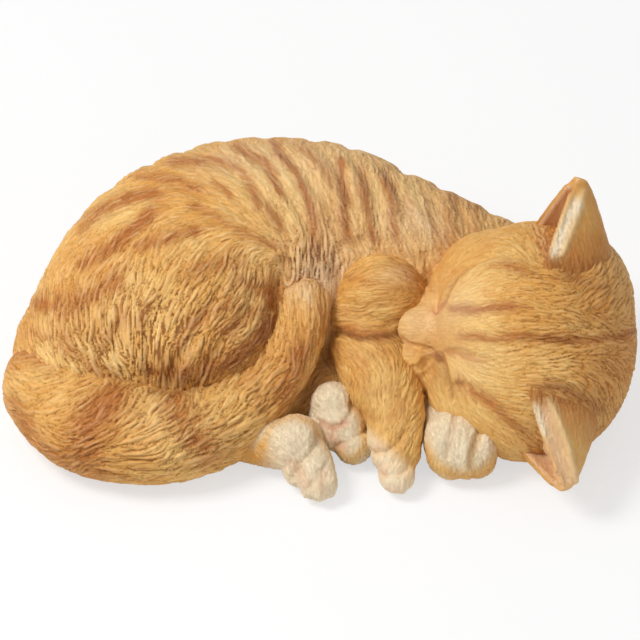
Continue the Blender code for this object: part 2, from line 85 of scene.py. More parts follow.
lumpPoints, lumpFaces = roundLump()


def ball(clay, centre, radii, turn=None):
    # clay is a list of lumps, each with its points and faces; radii is one number or three
    points = lumpPoints * np.array(radii, float)
    if turn is not None:
        points = points @ np.array(turn).T
    clay.append((points + np.array(centre, float), lumpFaces))


def heap(clay, masses):
    for centre, radii in masses:
        ball(clay, centre, radii)


def column(items, key, kind=float, width=1):
    # One property of all the points, corners or faces of a mesh
    values = np.empty(len(items) * width, kind)
    items.foreach_get(key, values)
    return values


def newObject(name, data):
    obj = bpy.data.objects.new(name, data)
    bpy.context.scene.collection.objects.link(obj)
    return obj


def settled(obj):
    # The mesh that a curve or modifiers give; the object itself isn't needed after that
    shape = obj.evaluated_get(bpy.context.evaluated_depsgraph_get())
    mesh = bpy.data.meshes.new_from_object(shape)
    bpy.data.objects.remove(obj)
    return mesh


def addMesh(clay, mesh):
    points = column(mesh.vertices, "co", float, 3).reshape(-1, 3)
    clay.append((points, [tuple(polygon.vertices) for polygon in mesh.polygons]))


def limb(clay, route):
    # A round limb along a route of (x, y, z, radius), drawn as a curve with a bevel
    curve = bpy.data.curves.new("limb", "CURVE")
    curve.dimensions = "3D"
    curve.bevel_depth = 1.0
    curve.bevel_resolution = 10
    curve.use_fill_caps = True
    spline = curve.splines.new("NURBS")
    spline.points.add(len(route) - 1)
    for knot, (x, y, z, radius) in zip(spline.points, route):
        knot.co = (x, y, z, 1.0)
        knot.radius = radius
    spline.order_u = 3
    spline.use_endpoint_u = True
    spline.resolution_u = 12
    addMesh(clay, settled(newObject("limb", curve)))
    for x, y, z, radius in (route[0], route[-1]):
        ball(clay, (x, y, z), radius)


def fuse(clay, grain, softness):
    # One skin round all the lumps; softness is how far edges melt, in square millimetres
    mesh = bpy.data.meshes.new("clay")
    faces, first = [], 0
    for points, corners in clay:
        faces += [tuple(first + corner for corner in face) for face in corners]
        first += len(points)
    mesh.from_pydata(np.concatenate([points for points, _ in clay]).tolist(), [], faces)
    obj = newObject("clay", mesh)
    size = grain * coarser
    remesh = obj.modifiers.new("skin", "REMESH")
    remesh.mode = "VOXEL"
    remesh.voxel_size = size
    smooth = obj.modifiers.new("soften", "SMOOTH")
    smooth.factor = 0.5
    smooth.iterations = max(2, round(softness / size ** 2))
    skin = settled(obj)
    points = column(skin.vertices, "co", float, 3).reshape(-1, 3)
    corners = column(skin.loops, "vertex_index", np.int64)
    starts = column(skin.polygons, "loop_start", np.int64)
    quads = starts[column(skin.polygons, "loop_total", np.int64) == 4]
    assert len(quads) == len(starts), "the skin should be all quads"
    return points, corners[quads[:, None] + np.arange(4)]


def faceNormals(points, faces):
    return np.cross(points[faces[:, 2]] - points[faces[:, 0]], points[faces[:, 3]] - points[faces[:, 1]])


def unit(vectors):
    return vectors / np.maximum(np.linalg.norm(vectors, axis=-1, keepdims=True), 1e-9)


def vertexNormals(points, faces):
    own = faceNormals(points, faces)
    total = np.zeros_like(points)
    for axis in range(3):
        total[:, axis] = np.bincount(faces.ravel(), np.repeat(own[:, axis], 4), len(points))
    return unit(total)


def edgesOf(faces):
    pairs = np.concatenate([faces[:, (0, 1)], faces[:, (1, 2)], faces[:, (2, 3)], faces[:, (3, 0)]])
    return np.unique(np.sort(pairs, axis=1), axis=0)


def spread(values, edges, rounds, share=0.5):
    # Let each value run into its neighbours'
    values = values.astype(float).copy()
    count = np.bincount(edges.ravel(), minlength=len(values)).astype(float)
    flat = values.reshape(len(values), -1)
    for _ in range(rounds):
        for column in range(flat.shape[1]):
            total = (np.bincount(edges[:, 0], flat[edges[:, 1], column], len(flat))
                     + np.bincount(edges[:, 1], flat[edges[:, 0], column], len(flat)))
            flat[:, column] += share * (total / np.maximum(count, 1.0) - flat[:, column])
    return flat.reshape(values.shape)


def toPhoto(points):
    return np.stack([photo["middle"] + photo["perMm"] * points[:, 0],
                     photo["ground"] - photo["perMmUp"] * (points[:, 1] + points[:, 2])], axis=1)


def ease(values, low, high):
    way = np.clip((values - low) / (high - low), 0.0, 1.0)
    return way * way * (3.0 - 2.0 * way)


def drift(points, size, seed):
    # Slow wandering between about -1 and 1 over a distance of size
    rng = np.random.default_rng(seed)
    total = np.zeros(len(points))
    for _ in range(6):
        wave = unit(rng.normal(size=3)) * 2.0 * math.pi / (size * rng.uniform(0.7, 1.6))
        total += np.sin(points @ wave + rng.uniform(0.0, 2.0 * math.pi))
    return total / 3.0


def lineDistance(spots, line):
    # Distance to a line of places, and how far along it
    best = np.full(len(spots), 1e9)
    along = np.zeros(len(spots))
    line = np.array(line, float)
    lengths = np.linalg.norm(line[1:] - line[:-1], axis=1)
    total = lengths.sum()
    done = 0.0
    for start, end, length in zip(line[:-1], line[1:], lengths):
        way = (end - start) / length
        rel = spots - start
        t = np.clip(rel @ way, 0.0, length)
        gap = np.linalg.norm(rel - t[:, None] * way, axis=1)
        nearer = gap < best
        best = np.where(nearer, gap, best)
        along = np.where(nearer, (done + t) / total, along)
        done += length
    return best, along


def facing(normals):
    return normals @ lookFrom


def seen(normals, low=0.05, high=0.30):
    return ease(facing(normals), low, high)


def stroke(spots, line, width, taper=0.0):
    # A soft painted or cut line, 1 in its middle
    gap, along = lineDistance(spots, line)
    reach = width * (1.0 - taper * along)
    return np.exp(-(gap / np.maximum(reach, 0.1)) ** 2)


def blob(spots, middle, size, turn=0.0):
    angle = math.radians(turn)
    rel = spots - np.array(middle)
    a = (rel[:, 0] * math.cos(angle) - rel[:, 1] * math.sin(angle)) / size[0]
    b = (rel[:, 0] * math.sin(angle) + rel[:, 1] * math.cos(angle)) / size[1]
    return np.exp(-(a * a + b * b))


def strokes(spots, lines):
    # Strokes over one another: each has its line, half width, strength and, if it tapers, its taper
    total = np.zeros(len(spots))
    for line, width, strength, *taper in lines:
        total += strength * stroke(spots, line, width, *taper)
    return total


def dabs(spots, places):
    # Soft round dabs: each has its middle, size, strength and, if it is turned, its turn
    total = np.zeros(len(spots))
    for middle, size, strength, *turn in places:
        total += strength * blob(spots, middle, size, *turn)
    return total


def pushOut(piece, amount):
    piece["points"] = piece["points"] + piece["normals"] * amount[:, None]
    piece["normals"] = vertexNormals(piece["points"], piece["faces"])


def flowField(points, normals, guides, behind, reach):
    # Which way the fur lies: guides are places on the photograph with the way the tips point, in
    # degrees, and behind is the way that it lies where the photograph doesn't show it
    spots = toPhoto(points)
    lean = np.zeros((len(points), 2))
    for u, v, angle in guides:
        weight = np.exp(-((spots[:, 0] - u) ** 2 + (spots[:, 1] - v) ** 2) / (2.0 * reach * reach)) + 1e-12
        lean += weight[:, None] * np.array((math.cos(math.radians(angle)), math.sin(math.radians(angle))))
    lean = unit(lean)
    way = lean[:, :1] * np.array((1.0, 0.0, 0.0)) + lean[:, 1:] * pictureUp
    front = np.maximum(facing(normals), 0.22)      # steep faces would stretch it
    way = way - lookFrom * (np.sum(way * normals, axis=1) / front)[:, None]
    share = seen(normals, -0.05, 0.30)[:, None]
    rear = np.array(behind, float)
    way = unit(way) * share + unit(np.broadcast_to(rear, way.shape)) * (1.0 - share)
    way = way - normals * np.sum(way * normals, axis=1)[:, None]
    return unit(way)


def turned(way, normals, angle):
    return way * np.cos(angle)[:, None] + np.cross(normals, way) * np.sin(angle)[:, None]


def nearPairs(points, centres, reach):
    # Every pair of a centre and a point within reach of it, through a grid of cells
    low = np.minimum(points.min(0), centres.min(0)) - 2.0 * reach
    cells = ((points - low) / reach).astype(np.int64)
    span = cells.max(0) + 4
    keys = (cells[:, 0] * span[1] + cells[:, 1]) * span[2] + cells[:, 2]
    order = np.argsort(keys, kind="stable")
    keys = keys[order]
    home = ((centres - low) / reach).astype(np.int64)
    found = []
    for stepX in (-1, 0, 1):
        for stepY in (-1, 0, 1):
            row = ((home[:, 0] + stepX) * span[1] + home[:, 1] + stepY) * span[2] + home[:, 2]
            first = np.searchsorted(keys, row - 1, "left")
            last = np.searchsorted(keys, row + 1, "right")
            count = last - first
            who = np.repeat(np.arange(len(centres)), count)
            within = np.arange(count.sum()) - np.repeat(np.cumsum(count) - count, count)
            point = order[np.repeat(first, count) + within]
            gap = points[point] - centres[who]
            keep = np.einsum("ij,ij->i", gap, gap) < reach * reach
            found.append((who[keep], point[keep]))
    return np.concatenate([f[0] for f in found]), np.concatenate([f[1] for f in found])


def neighbourTable(count, edges):
    # Up to 7 neighbours of each point, and the point itself in the places left over
    both = np.concatenate([edges, edges[:, ::-1]])
    both = both[np.argsort(both[:, 0], kind="stable")]
    first = np.searchsorted(both[:, 0], np.arange(count))
    rank = np.arange(len(both)) - first[both[:, 0]]
    table = np.repeat(np.arange(count)[:, None], 8, axis=1)
    keep = rank < 7
    table[both[keep, 0], rank[keep] + 1] = both[keep, 1]
    return table


def stepAlong(piece, at, spot, stride, tries=2):
    # One step along the lie of the fur, kept on the surface; at is the nearest point to spot
    points, normals = piece["points"], piece["normals"]
    spot = spot + piece["way"][at] * stride
    for _ in range(tries):
        near = piece["table"][at]
        gap = points[near] - spot[:, None, :]
        at = near[np.arange(len(at)), np.argmin(np.einsum("ijk,ijk->ij", gap, gap), axis=1)]
    lift = np.einsum("ij,ij->i", spot - points[at], normals[at])
    return at, spot - normals[at] * lift[:, None]


def comb(piece, roots, steps, stride):
    # The paths that start at the roots and follow the fur
    at, spot = roots.copy(), piece["points"][roots].copy()
    paths, owners = [spot], [at]
    for _ in range(steps - 1):
        at, spot = stepAlong(piece, at, spot, stride)
        paths.append(spot)
        owners.append(at)
    return np.stack(paths, axis=1), np.stack(owners, axis=1)


def latticeNoise(points, cell, seed):
    # Smooth noise about 0 between random values on a lattice
    values = np.random.default_rng(seed).uniform(-1.0, 1.0, 4096)
    scaled = points / cell + 1000.0
    low = np.floor(scaled).astype(np.int64)
    way = scaled - low
    way = way * way * (3.0 - 2.0 * way)
    total = np.zeros(len(points))
    for corner in range(8):
        step = np.array((corner & 1, corner >> 1 & 1, corner >> 2 & 1))
        a, b, c = (low + step).T
        share = np.prod(np.where(step == 1, way, 1.0 - way), axis=1)
        total += share * values[(a * 73856093 ^ b * 19349663 ^ c * 83492791) & 4095]
    return total


def strands(piece, layers):
    # Noise drawn out along the fur, a layer for each cell size and length; where it crosses 0
    # runs the cut between two strands
    stride = 0.8
    points = piece["points"]
    fields = [latticeNoise(points, cell, seed) for cell, _, seed in layers]
    ends = [max(2, int(0.5 * long / stride)) for _, long, _ in layers]
    totals = [field.copy() for field in fields]
    for sign in (1.0, -1.0):
        at, spot = np.arange(len(points)), points
        for step in range(1, max(ends) + 1):
            at, spot = stepAlong(piece, at, spot, sign * stride, 1)
            for field, end, total in zip(fields, ends, totals):
                if step <= end:
                    total += math.cos(0.5 * math.pi * step / (end + 1)) * field[at]
    return [total / np.sqrt(np.mean(total * total)) for total in totals]


# How locks are laid: the step of their paths in millimetres, steps to a joint, locks at a time,
# and the least share of a full lock that is laid at all
laying = {"stride": 0.75, "joint": 3, "batch": 2500, "shortest": 0.04}


def kept(some, *columns):
    return [values[some] for values in columns]


def rootsOf(piece, fur, length, rng):
    # One root in each cell of a loose grid, wherever there is fur
    points = piece["points"]
    order = rng.permutation(len(points))
    cells = np.floor((points[order] + rng.uniform(0.0, fur["spacing"], 3)) / fur["spacing"]).astype(np.int64)
    _, firsts = np.unique(cells, axis=0, return_index=True)
    roots = order[np.sort(firsts)]
    return roots[length[roots] > laying["shortest"]]


def lockTops(piece, locks, some):
    # How high these locks stand over the points that they cover, the tallest one for each point
    points, normals = piece["points"], piece["normals"]
    stride, joint = laying["stride"], laying["joint"]
    paths, owners = locks["paths"][some], locks["owners"][some]
    knots = np.arange(0, paths.shape[1] - joint, joint)
    starts, ends = paths[:, knots].reshape(-1, 3), paths[:, knots + joint].reshape(-1, 3)
    under = owners[:, knots + joint // 2].ravel()
    lock = np.repeat(some, len(knots))
    run = np.tile(knots * stride, len(some))
    lock, run, starts, ends, under = kept(run < locks["long"][lock], lock, run, starts, ends, under)
    ways = unit(ends - starts)
    across = unit(np.cross(normals[under], ways))
    reach = math.hypot(0.62 * joint * stride, 0.72 * float(locks["wide"].max()) + 0.3)
    who, point = nearPairs(points, (starts + ends) / 2.0, reach)
    rel = points[point] - starts[who]
    along = np.einsum("ij,ij->i", rel, ways[who])
    agree = np.einsum("ij,ij->i", normals[point], normals[under[who]])
    beside = (along > -0.35) & (along < joint * stride + 0.35) & (agree > 0.3)
    who, point, rel, along = kept(beside, who, point, rel, along)
    own = lock[who]
    along = along + run[who]
    way = along / locks["long"][own]
    bend = locks["wave"][own] * np.sin(along * 0.9 + locks["phase"][own])
    side = np.einsum("ij,ij->i", rel, across[who]) - bend
    t = np.clip(way, 0.0, 1.0)
    # widest a fifth of the way along and tapering to the tip
    half = 0.5 * locks["wide"][own] * np.minimum(1.0, (t + 0.03) / 0.22) ** 0.7 * (1.0 - t) ** 0.5 * 1.3
    edge = side / np.maximum(half, 0.05)
    covered = (np.abs(edge) < 1.0) & (way > -0.05) & (way < 1.0)
    point, own, t, side, edge, along = kept(covered, point, own, t, side, edge, along)
    # rising along the lock, falling at its tip, and rounded across
    rise = (0.25 + 0.75 * t ** 0.8) * (1.0 - 0.5 * ease(t, 0.82, 1.0))
    top = locks["high"][own] * rise * (1.0 - np.abs(edge) ** 1.9)
    point, top, own, side, along = kept(np.lexsort((top, point)), point, top, own, side, along)
    last = np.append(point[1:] != point[:-1], True)
    return kept(last, point, top, own, side, along)


def carveFur(piece, fur, length, seed):
    # Lay overlapping tapered locks along the lie of the fur; a point keeps the lock that
    # stands highest over it. length is the share of a full lock at each point
    rng = np.random.default_rng(seed)
    roots = rootsOf(piece, fur, length, rng)
    count = len(roots)
    full = 0.45 + 0.55 * length[roots]
    locks = {"long": fur["long"] * rng.uniform(0.65, 1.3, count) * full,
             "wide": fur["wide"] * rng.uniform(0.75, 1.3, count) * full,
             "high": fur["high"] * rng.uniform(0.6, 1.2, count) * length[roots],
             "wave": rng.normal(0.0, fur["wave"], count),
             "phase": rng.uniform(0.0, 2.0 * math.pi, count)}
    joints = math.ceil(float(locks["long"].max()) / laying["stride"] / laying["joint"])
    steps = joints * laying["joint"] + 1
    locks["paths"], locks["owners"] = comb(piece, roots, steps, laying["stride"])
    height = np.zeros(len(length))
    owner = np.full(len(length), -1)
    hair = np.zeros((len(length), 3))
    for begin in range(0, count, laying["batch"]):
        some = np.arange(begin, min(begin + laying["batch"], count))
        point, top, own, side, along = lockTops(piece, locks, some)
        point, top, own, side, along = kept(top > height[point], point, top, own, side, along)
        height[point] = top
        owner[point] = own
        hair[point] = np.stack([side, along, locks["phase"][own] * 7.0], axis=1)
    return height, owner, hair, roots, rng.uniform(-1.0, 1.0, count)


def hollows(piece, normals):
    # How far each point lies below its neighbours
    edges = piece["edges"]
    low = np.zeros(len(normals))
    step = piece["points"][edges[:, 1]] - piece["points"][edges[:, 0]]
    for own, sign in ((0, 1.0), (1, -1.0)):
        lift = sign * np.einsum("ij,ij->i", step, normals[edges[:, own]])
        low += np.bincount(edges[:, own], lift, len(low))
    return low / np.maximum(np.bincount(edges.ravel(), minlength=len(low)), 1)


def furCoat(piece, fur, length, seed, bold):
    # Tapered locks, and strands cut along them, pressed into one relief; bold is the share of
    # the wide strands
    height, owner, hair, roots, tone = carveFur(piece, fur, length, seed)
    wide, fine = strands(piece, [(fur["strand"], fur["strandLong"], seed + 1),
                                 (0.6 * fur["strand"], 0.75 * fur["strandLong"], seed + 2)])
    drawn = np.abs(bold * wide + (1.0 - bold) * fine) / np.sqrt(bold ** 2 + (1.0 - bold) ** 2)
    ridge = np.minimum(1.0, drawn / 1.7) ** 0.9 - 0.16 * (1.0 - np.minimum(1.0, np.abs(fine) / 0.7))
    owned = owner >= 0
    mine = np.maximum(owner, 0)
    piece["lockRoot"] = np.where(owned, roots[mine], np.arange(len(owned)))
    piece["lockTone"] = np.where(owned, tone[mine], 0.0) * np.minimum(1.0, 1.4 * length)
    piece["hair"] = hair
    relief = 0.8 * (height - 0.5 * fur["high"] * length) + fur["cut"] * length * (ridge - 0.42)
    edges, before = piece["edges"], piece["normals"]
    pushOut(piece, spread(relief, edges, 1, 0.15))
    hollow = hollows(piece, before) / fur["hollow"]
    soft = 1.0 - ease(drawn, 0.0, 1.0)
    mix = 0.45 * np.clip(hollow, -1.0, 1.0) + 0.80 * soft * length - 0.22
    piece["groove"] = fur["wash"] * np.clip(spread(mix, edges, 1, 0.5), -1.0, 1.0)
    print("  fur:", len(roots), "locks on", len(relief), "points")


def press(piece, furrows, toward=None):
    # The folds and partings that the solid has too: each has a depth, a half width and a line of
    # (across, rise), where rise is height plus the way back, or height alone with toward
    side = np.array((0.0, -0.707, 0.707)) if toward is None else np.array(toward)
    points = piece["points"]
    rise = points[:, 2] + (points[:, 1] if toward is None else 0.0)
    wander = np.stack([drift(points, 24.0, 7), drift(points, 24.0, 8)], axis=1)
    spots = np.stack([points[:, 0], rise], axis=1) + 0.9 * wander
    depth = np.zeros(len(points))
    for deep, halfWidth, line in furrows:
        gap, along = lineDistance(spots, line)
        ends = np.clip(np.minimum(along, 1.0 - along) / 0.15, 0.0, 1.0)
        depth += deep * np.clip(1.0 - (gap / halfWidth) ** 2, 0.0, 1.0) ** 1.5 * ends ** 0.5
    share = np.clip((piece["normals"] @ side - 0.20) / 0.40, 0.0, 1.0)
    pushOut(piece, -depth * share)


def newPiece(clay, look):
    points, faces = fuse(clay, look["grain"], look["softness"])
    edges = edgesOf(faces)
    return {"points": points, "faces": faces, "edges": edges, "table": neighbourTable(len(points), edges),
            "normals": vertexNormals(points, faces)}


def offGround(piece, fade):
    # Fur comes in over the first few millimetres above the underside
    return ease(piece["points"][:, 2], baseHeight + 0.5, baseHeight + fade)


def layFur(piece, look, length, bold=0.5):
    # The lie of the fur with a wandering waviness, then the carving, then a flat underside
    fur, seed = look["fur"], look["seed"]
    points, normals = piece["points"], piece["normals"]
    way = flowField(points, normals, look["guides"], look["behind"], fur["reach"])
    sway = fur["sway"] * (0.6 * drift(points, 30.0, seed + 5) + 0.9 * drift(points, 11.0, seed + 6))
    piece["way"] = turned(way, normals, sway)
    furCoat(piece, fur, length, seed, bold)
    piece["points"][:, 2] = np.maximum(piece["points"][:, 2], baseHeight)


def perLock(piece, values, own=0.25):
    # A painter's brush follows the locks: each takes the value at its root
    return (1.0 - own) * values[piece["lockRoot"]] + own * values


def paintMarks(piece, stripe, cream, pink, shade):
    # What the painted fur reads at each point
    return {"stripe": stripe, "cream": cream, "pink": pink, "shade": np.clip(shade, 0.0, 1.0),
            "groove": piece["groove"], "lockTone": piece["lockTone"], "hair": piece["hair"]}


def finishPiece(name, piece, marks, node, slot, part=None):
    # Turn a sculpted piece, or some of its faces, into an object of the scene
    faces = piece["faces"] if part is None else piece["faces"][part]
    used, back = np.unique(faces, return_inverse=True)
    faces = back.reshape(-1, 4)
    points = piece["points"][used] * mm + place
    mesh = bpy.data.meshes.new(name)
    mesh.vertices.add(len(points))
    mesh.vertices.foreach_set("co", points.ravel())
    mesh.loops.add(faces.size)
    mesh.loops.foreach_set("vertex_index", faces.ravel())
    mesh.polygons.add(len(faces))
    mesh.polygons.foreach_set("loop_start", np.arange(len(faces)) * 4)
    mesh.polygons.foreach_set("loop_total", np.full(len(faces), 4))
    mesh.update(calc_edges=True)
    mesh.validate()
    for key, values in marks.items():
        kind, entry = ("FLOAT_VECTOR", "vector") if values.ndim == 2 else ("FLOAT", "value")
        layer = mesh.attributes.new(key, kind, "POINT")
        layer.data.foreach_set(entry, values[used].astype(np.float32).ravel())
    if part is not None:
        bm = bmesh.new()
        bm.from_mesh(mesh)
        rim = [edge for edge in bm.edges if edge.is_boundary]
        for edge in rim:
            edge.smooth = False
        bmesh.ops.holes_fill(bm, edges=rim, sides=0)
        bm.to_mesh(mesh)
        bm.free()
    mesh.polygons.foreach_set("use_smooth", np.ones(len(mesh.polygons), bool))
    obj = newObject(name, mesh)
    mesh.materials.append(furCoats[slot])
    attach(obj, "root")
    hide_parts(node)
    print(name, len(mesh.polygons), "faces")


def paint(code):
    # A colour as written on screen, made linear
    values = [int(code[i:i + 2], 16) / 255.0 for i in (1, 3, 5)]
    return (*[c / 12.92 if c <= 0.04045 else ((c + 0.055) / 1.055) ** 2.4 for c in values], 1.0)


def socket(tree, name, way, kind, default=None):
    made = tree.interface.new_socket(name, in_out=way, socket_type=kind)
    if default is not None:
        made.default_value = default
    return made


def mixColour(tree, factor, first, second, blend="MIX"):
    node = tree.nodes.new("ShaderNodeMix")
    node.data_type = "RGBA"
    node.blend_type = blend
    node.clamp_factor = True
    for index, value in ((0, factor), (6, first), (7, second)):
        if isinstance(value, (int, float, tuple)):
            node.inputs[index].default_value = value
        else:
            tree.links.new(value, node.inputs[index])
    return node.outputs[2]


def mathNode(tree, operation, first, second=0.0, clamp=False):
    node = tree.nodes.new("ShaderNodeMath")
    node.operation = operation
    node.use_clamp = clamp
    for index, value in enumerate((first, second)):
        if isinstance(value, (int, float)):
            node.inputs[index].default_value = value
        else:
            tree.links.new(value, node.inputs[index])
    return node.outputs[0]


def plus(tree, first, second, clamp=False):
    return mathNode(tree, "ADD", first, second, clamp)


def times(tree, first, second, clamp=False):
    return mathNode(tree, "MULTIPLY", first, second, clamp)


def noiseNode(tree, coordinates, scale, detail=3.0, roughness=0.55):
    node = tree.nodes.new("ShaderNodeTexNoise")
    node.inputs["Scale"].default_value = scale
    node.inputs["Detail"].default_value = detail
    node.inputs["Roughness"].default_value = roughness
    tree.links.new(coordinates, node.inputs["Vector"])
    return node.outputs["Fac"]


def stretched(tree, vector, scale):
    node = tree.nodes.new("ShaderNodeMapping")
    node.inputs["Scale"].default_value = scale
    tree.links.new(vector, node.inputs["Vector"])
    return node.outputs["Vector"]


def remap(tree, value, low, high, toLow=0.0, toHigh=1.0):
    node = tree.nodes.new("ShaderNodeMapRange")
    node.interpolation_type = "SMOOTHSTEP"
    for index, number in ((1, low), (2, high), (3, toLow), (4, toHigh)):
        node.inputs[index].default_value = number
    tree.links.new(value, node.inputs[0])
    return node.outputs[0]


def attributeNode(tree, name, output="Fac"):
    node = tree.nodes.new("ShaderNodeAttribute")
    node.attribute_name = name
    return node.outputs[output]


def addBump(tree, shader, height, distance):
    relief = tree.nodes.new("ShaderNodeBump")
    relief.inputs["Distance"].default_value = distance
    tree.links.new(height, relief.inputs["Height"])
    tree.links.new(relief.outputs["Normal"], shader.inputs["Normal"])


def newMaterial(name):
    material = bpy.data.materials.new(name)
    material.use_nodes = True
    return material, material.node_tree, material.node_tree.nodes["Principled BSDF"]


furPaint = {
    "colours": {"Base": "#DC9E4C", "Light": "#F2CB7E", "Stripe": "#B26B2A", "Wash": "#80480F",
                "Cream": "#F0DDBB", "Pink": "#DB9C78"},
    "amounts": {"Wash Amount": 0.75, "Dry Brush": 0.45, "Hair Lines": 0.5, "Patchiness": 0.35},
    "brushColour": "#FFF0CC", "gloss": 0.35, "bump": 0.0006,
    "onPaws": {"Wash": "#9A6A44", "Wash Amount": 0.7, "Dry Brush": 0.35, "Hair Lines": 0.6},
}


def paintedFurGroup():
    # The painter's work: base coat, tabby bands, a light dry brush on top, a dark wash in the cuts; also
    # painted shade
    tree = bpy.data.node_groups.new("paintedFur", "ShaderNodeTree")
    for name, code in furPaint["colours"].items():
        socket(tree, name, "INPUT", "NodeSocketColor", paint(code))
    for name, amount in furPaint["amounts"].items():
        socket(tree, name, "INPUT", "NodeSocketFloat", amount)
    socket(tree, "Colour", "OUTPUT", "NodeSocketColor")
    socket(tree, "Roughness", "OUTPUT", "NodeSocketFloat")
    socket(tree, "Height", "OUTPUT", "NodeSocketFloat")
    given = {out.name: out for out in tree.nodes.new("NodeGroupInput").outputs}
    result = tree.nodes.new("NodeGroupOutput")
    here = tree.nodes.new("ShaderNodeTexCoord").outputs["Object"]
    stripe, cream, pink = (attributeNode(tree, name) for name in ("stripe", "cream", "pink"))
    groove, tone, shade = (attributeNode(tree, name) for name in ("groove", "lockTone", "shade"))
    hair = attributeNode(tree, "hair", "Vector")
    hairLines = noiseNode(tree, stretched(tree, hair, (1.5, 0.16, 1.0)), 1.0, 3.0, 0.6)
    broad = noiseNode(tree, here, 22.0, 3.0, 0.5)
    mottle = noiseNode(tree, here, 120.0, 3.0, 0.6)
    grain = noiseNode(tree, here, 1400.0, 2.0, 0.6)

    # base coat, lighter in broad patches, on some locks and on single hairs
    light = plus(tree, times(tree, tone, 0.16), remap(tree, broad, 0.32, 0.68, 0.05, 0.62))
    light = plus(tree, light, remap(tree, hairLines, 0.3, 0.7, -0.12, 0.12), True)
    colour = mixColour(tree, light, given["Base"], given["Light"])

    # bands and pale patches with ragged edges
    patches = times(tree, mathNode(tree, "SUBTRACT", mottle, 0.5), given["Patchiness"])
    ragged = plus(tree, patches, times(tree, mathNode(tree, "SUBTRACT", hairLines, 0.5), 0.5))
    raggedBand = times(tree, ragged, remap(tree, stripe, 0.0, 0.35))
    colour = mixColour(tree, plus(tree, stripe, raggedBand, True), colour, given["Stripe"])
    raggedCream = times(tree, ragged, remap(tree, cream, 0.0, 0.4, 0.0, 0.7))
    colour = mixColour(tree, plus(tree, cream, raggedCream, True), colour, given["Cream"])
    skin = times(tree, pink, remap(tree, mottle, 0.2, 0.7, 0.6, 1.0), True)
    colour = mixColour(tree, skin, colour, given["Pink"])

    # dry brush on the ridges
    ridges = remap(tree, times(tree, groove, -1.0), 0.02, 0.50)
    dry = times(tree, times(tree, ridges, given["Dry Brush"]), remap(tree, grain, 0.3, 0.7, 0.55, 1.0))
    lit = mixColour(tree, 0.5, colour, paint(furPaint["brushColour"]), "SCREEN")
    colour = mixColour(tree, dry, colour, lit)

    # wash in the cuts, and painted shade in the same colour where the shade mark lies
    deep = times(tree, remap(tree, groove, 0.04, 0.60), given["Wash Amount"])
    washAndPaintedShade = mixColour(tree, 1.0, colour, given["Wash"], "MULTIPLY")
    washAndPaintedShade = mixColour(tree, 0.35, washAndPaintedShade, given["Wash"])
    colour = mixColour(tree, deep, colour, washAndPaintedShade)
    colour = mixColour(tree, times(tree, shade, 0.8, True), colour, washAndPaintedShade)
    rough = plus(tree, remap(tree, mottle, 0.3, 0.7, 0.50, 0.62), times(tree, deep, 0.2))
    height = plus(tree, times(tree, hairLines, given["Hair Lines"]), times(tree, grain, 0.12))
    for name, value in (("Colour", colour), ("Roughness", rough), ("Height", height)):
        tree.links.new(value, result.inputs[name])
    return tree


def paintedMaterial(name, group, values):
    material, tree, shader = newMaterial(name)
    node = tree.nodes.new("ShaderNodeGroup")
    node.node_tree = group
    for key, value in values.items():
        node.inputs[key].default_value = paint(value) if isinstance(value, str) else value
    addBump(tree, shader, node.outputs["Height"], furPaint["bump"])
    tree.links.new(node.outputs["Colour"], shader.inputs["Base Color"])
    tree.links.new(node.outputs["Roughness"], shader.inputs["Roughness"])
    shader.inputs["Specular IOR Level"].default_value = furPaint["gloss"]
    return material


furGroup = paintedFurGroup()
furCoats = {"ginger_resin": paintedMaterial("gingerTabbyPaint", furGroup, {}),
            "cream_resin": paintedMaterial("creamPawPaint", furGroup, furPaint["onPaws"])}


def bandMask(piece, bands, seed):
    # Painted bands with a wandering edge on what the photograph shows; each has its line, half
    # width and strength
    spots = toPhoto(piece["points"])
    wander = 1.6 * np.stack([drift(piece["points"], 11.0, seed + way) for way in (0, 1)], axis=1)
    total = np.zeros(len(spots))
    for line, width, strength in bands:
        total = np.maximum(total, strength * stroke(spots + wander, line, 1.35 * width + 0.8))
    return total * seen(piece["normals"], -0.05, 0.15)


def rearBands(piece, places, width, seed):
    # Bands going down the side that the photograph doesn't show, leaning a little; each has its
    # place along the statue and its strength
    points = piece["points"]
    slant = points[:, 0] - 0.18 * (points[:, 2] - 90.0) + 3.5 * drift(points, 30.0, seed)
    total = np.zeros(len(points))
    for middle, strength in places:
        total = np.maximum(total, strength * np.exp(-((slant - middle) / width) ** 2))
    fade = ease(points[:, 2], 8.0, 55.0) * (0.75 + 0.25 * drift(points, 18.0, seed + 3))
    return total * fade * (1.0 - seen(piece["normals"], -0.05, 0.15))


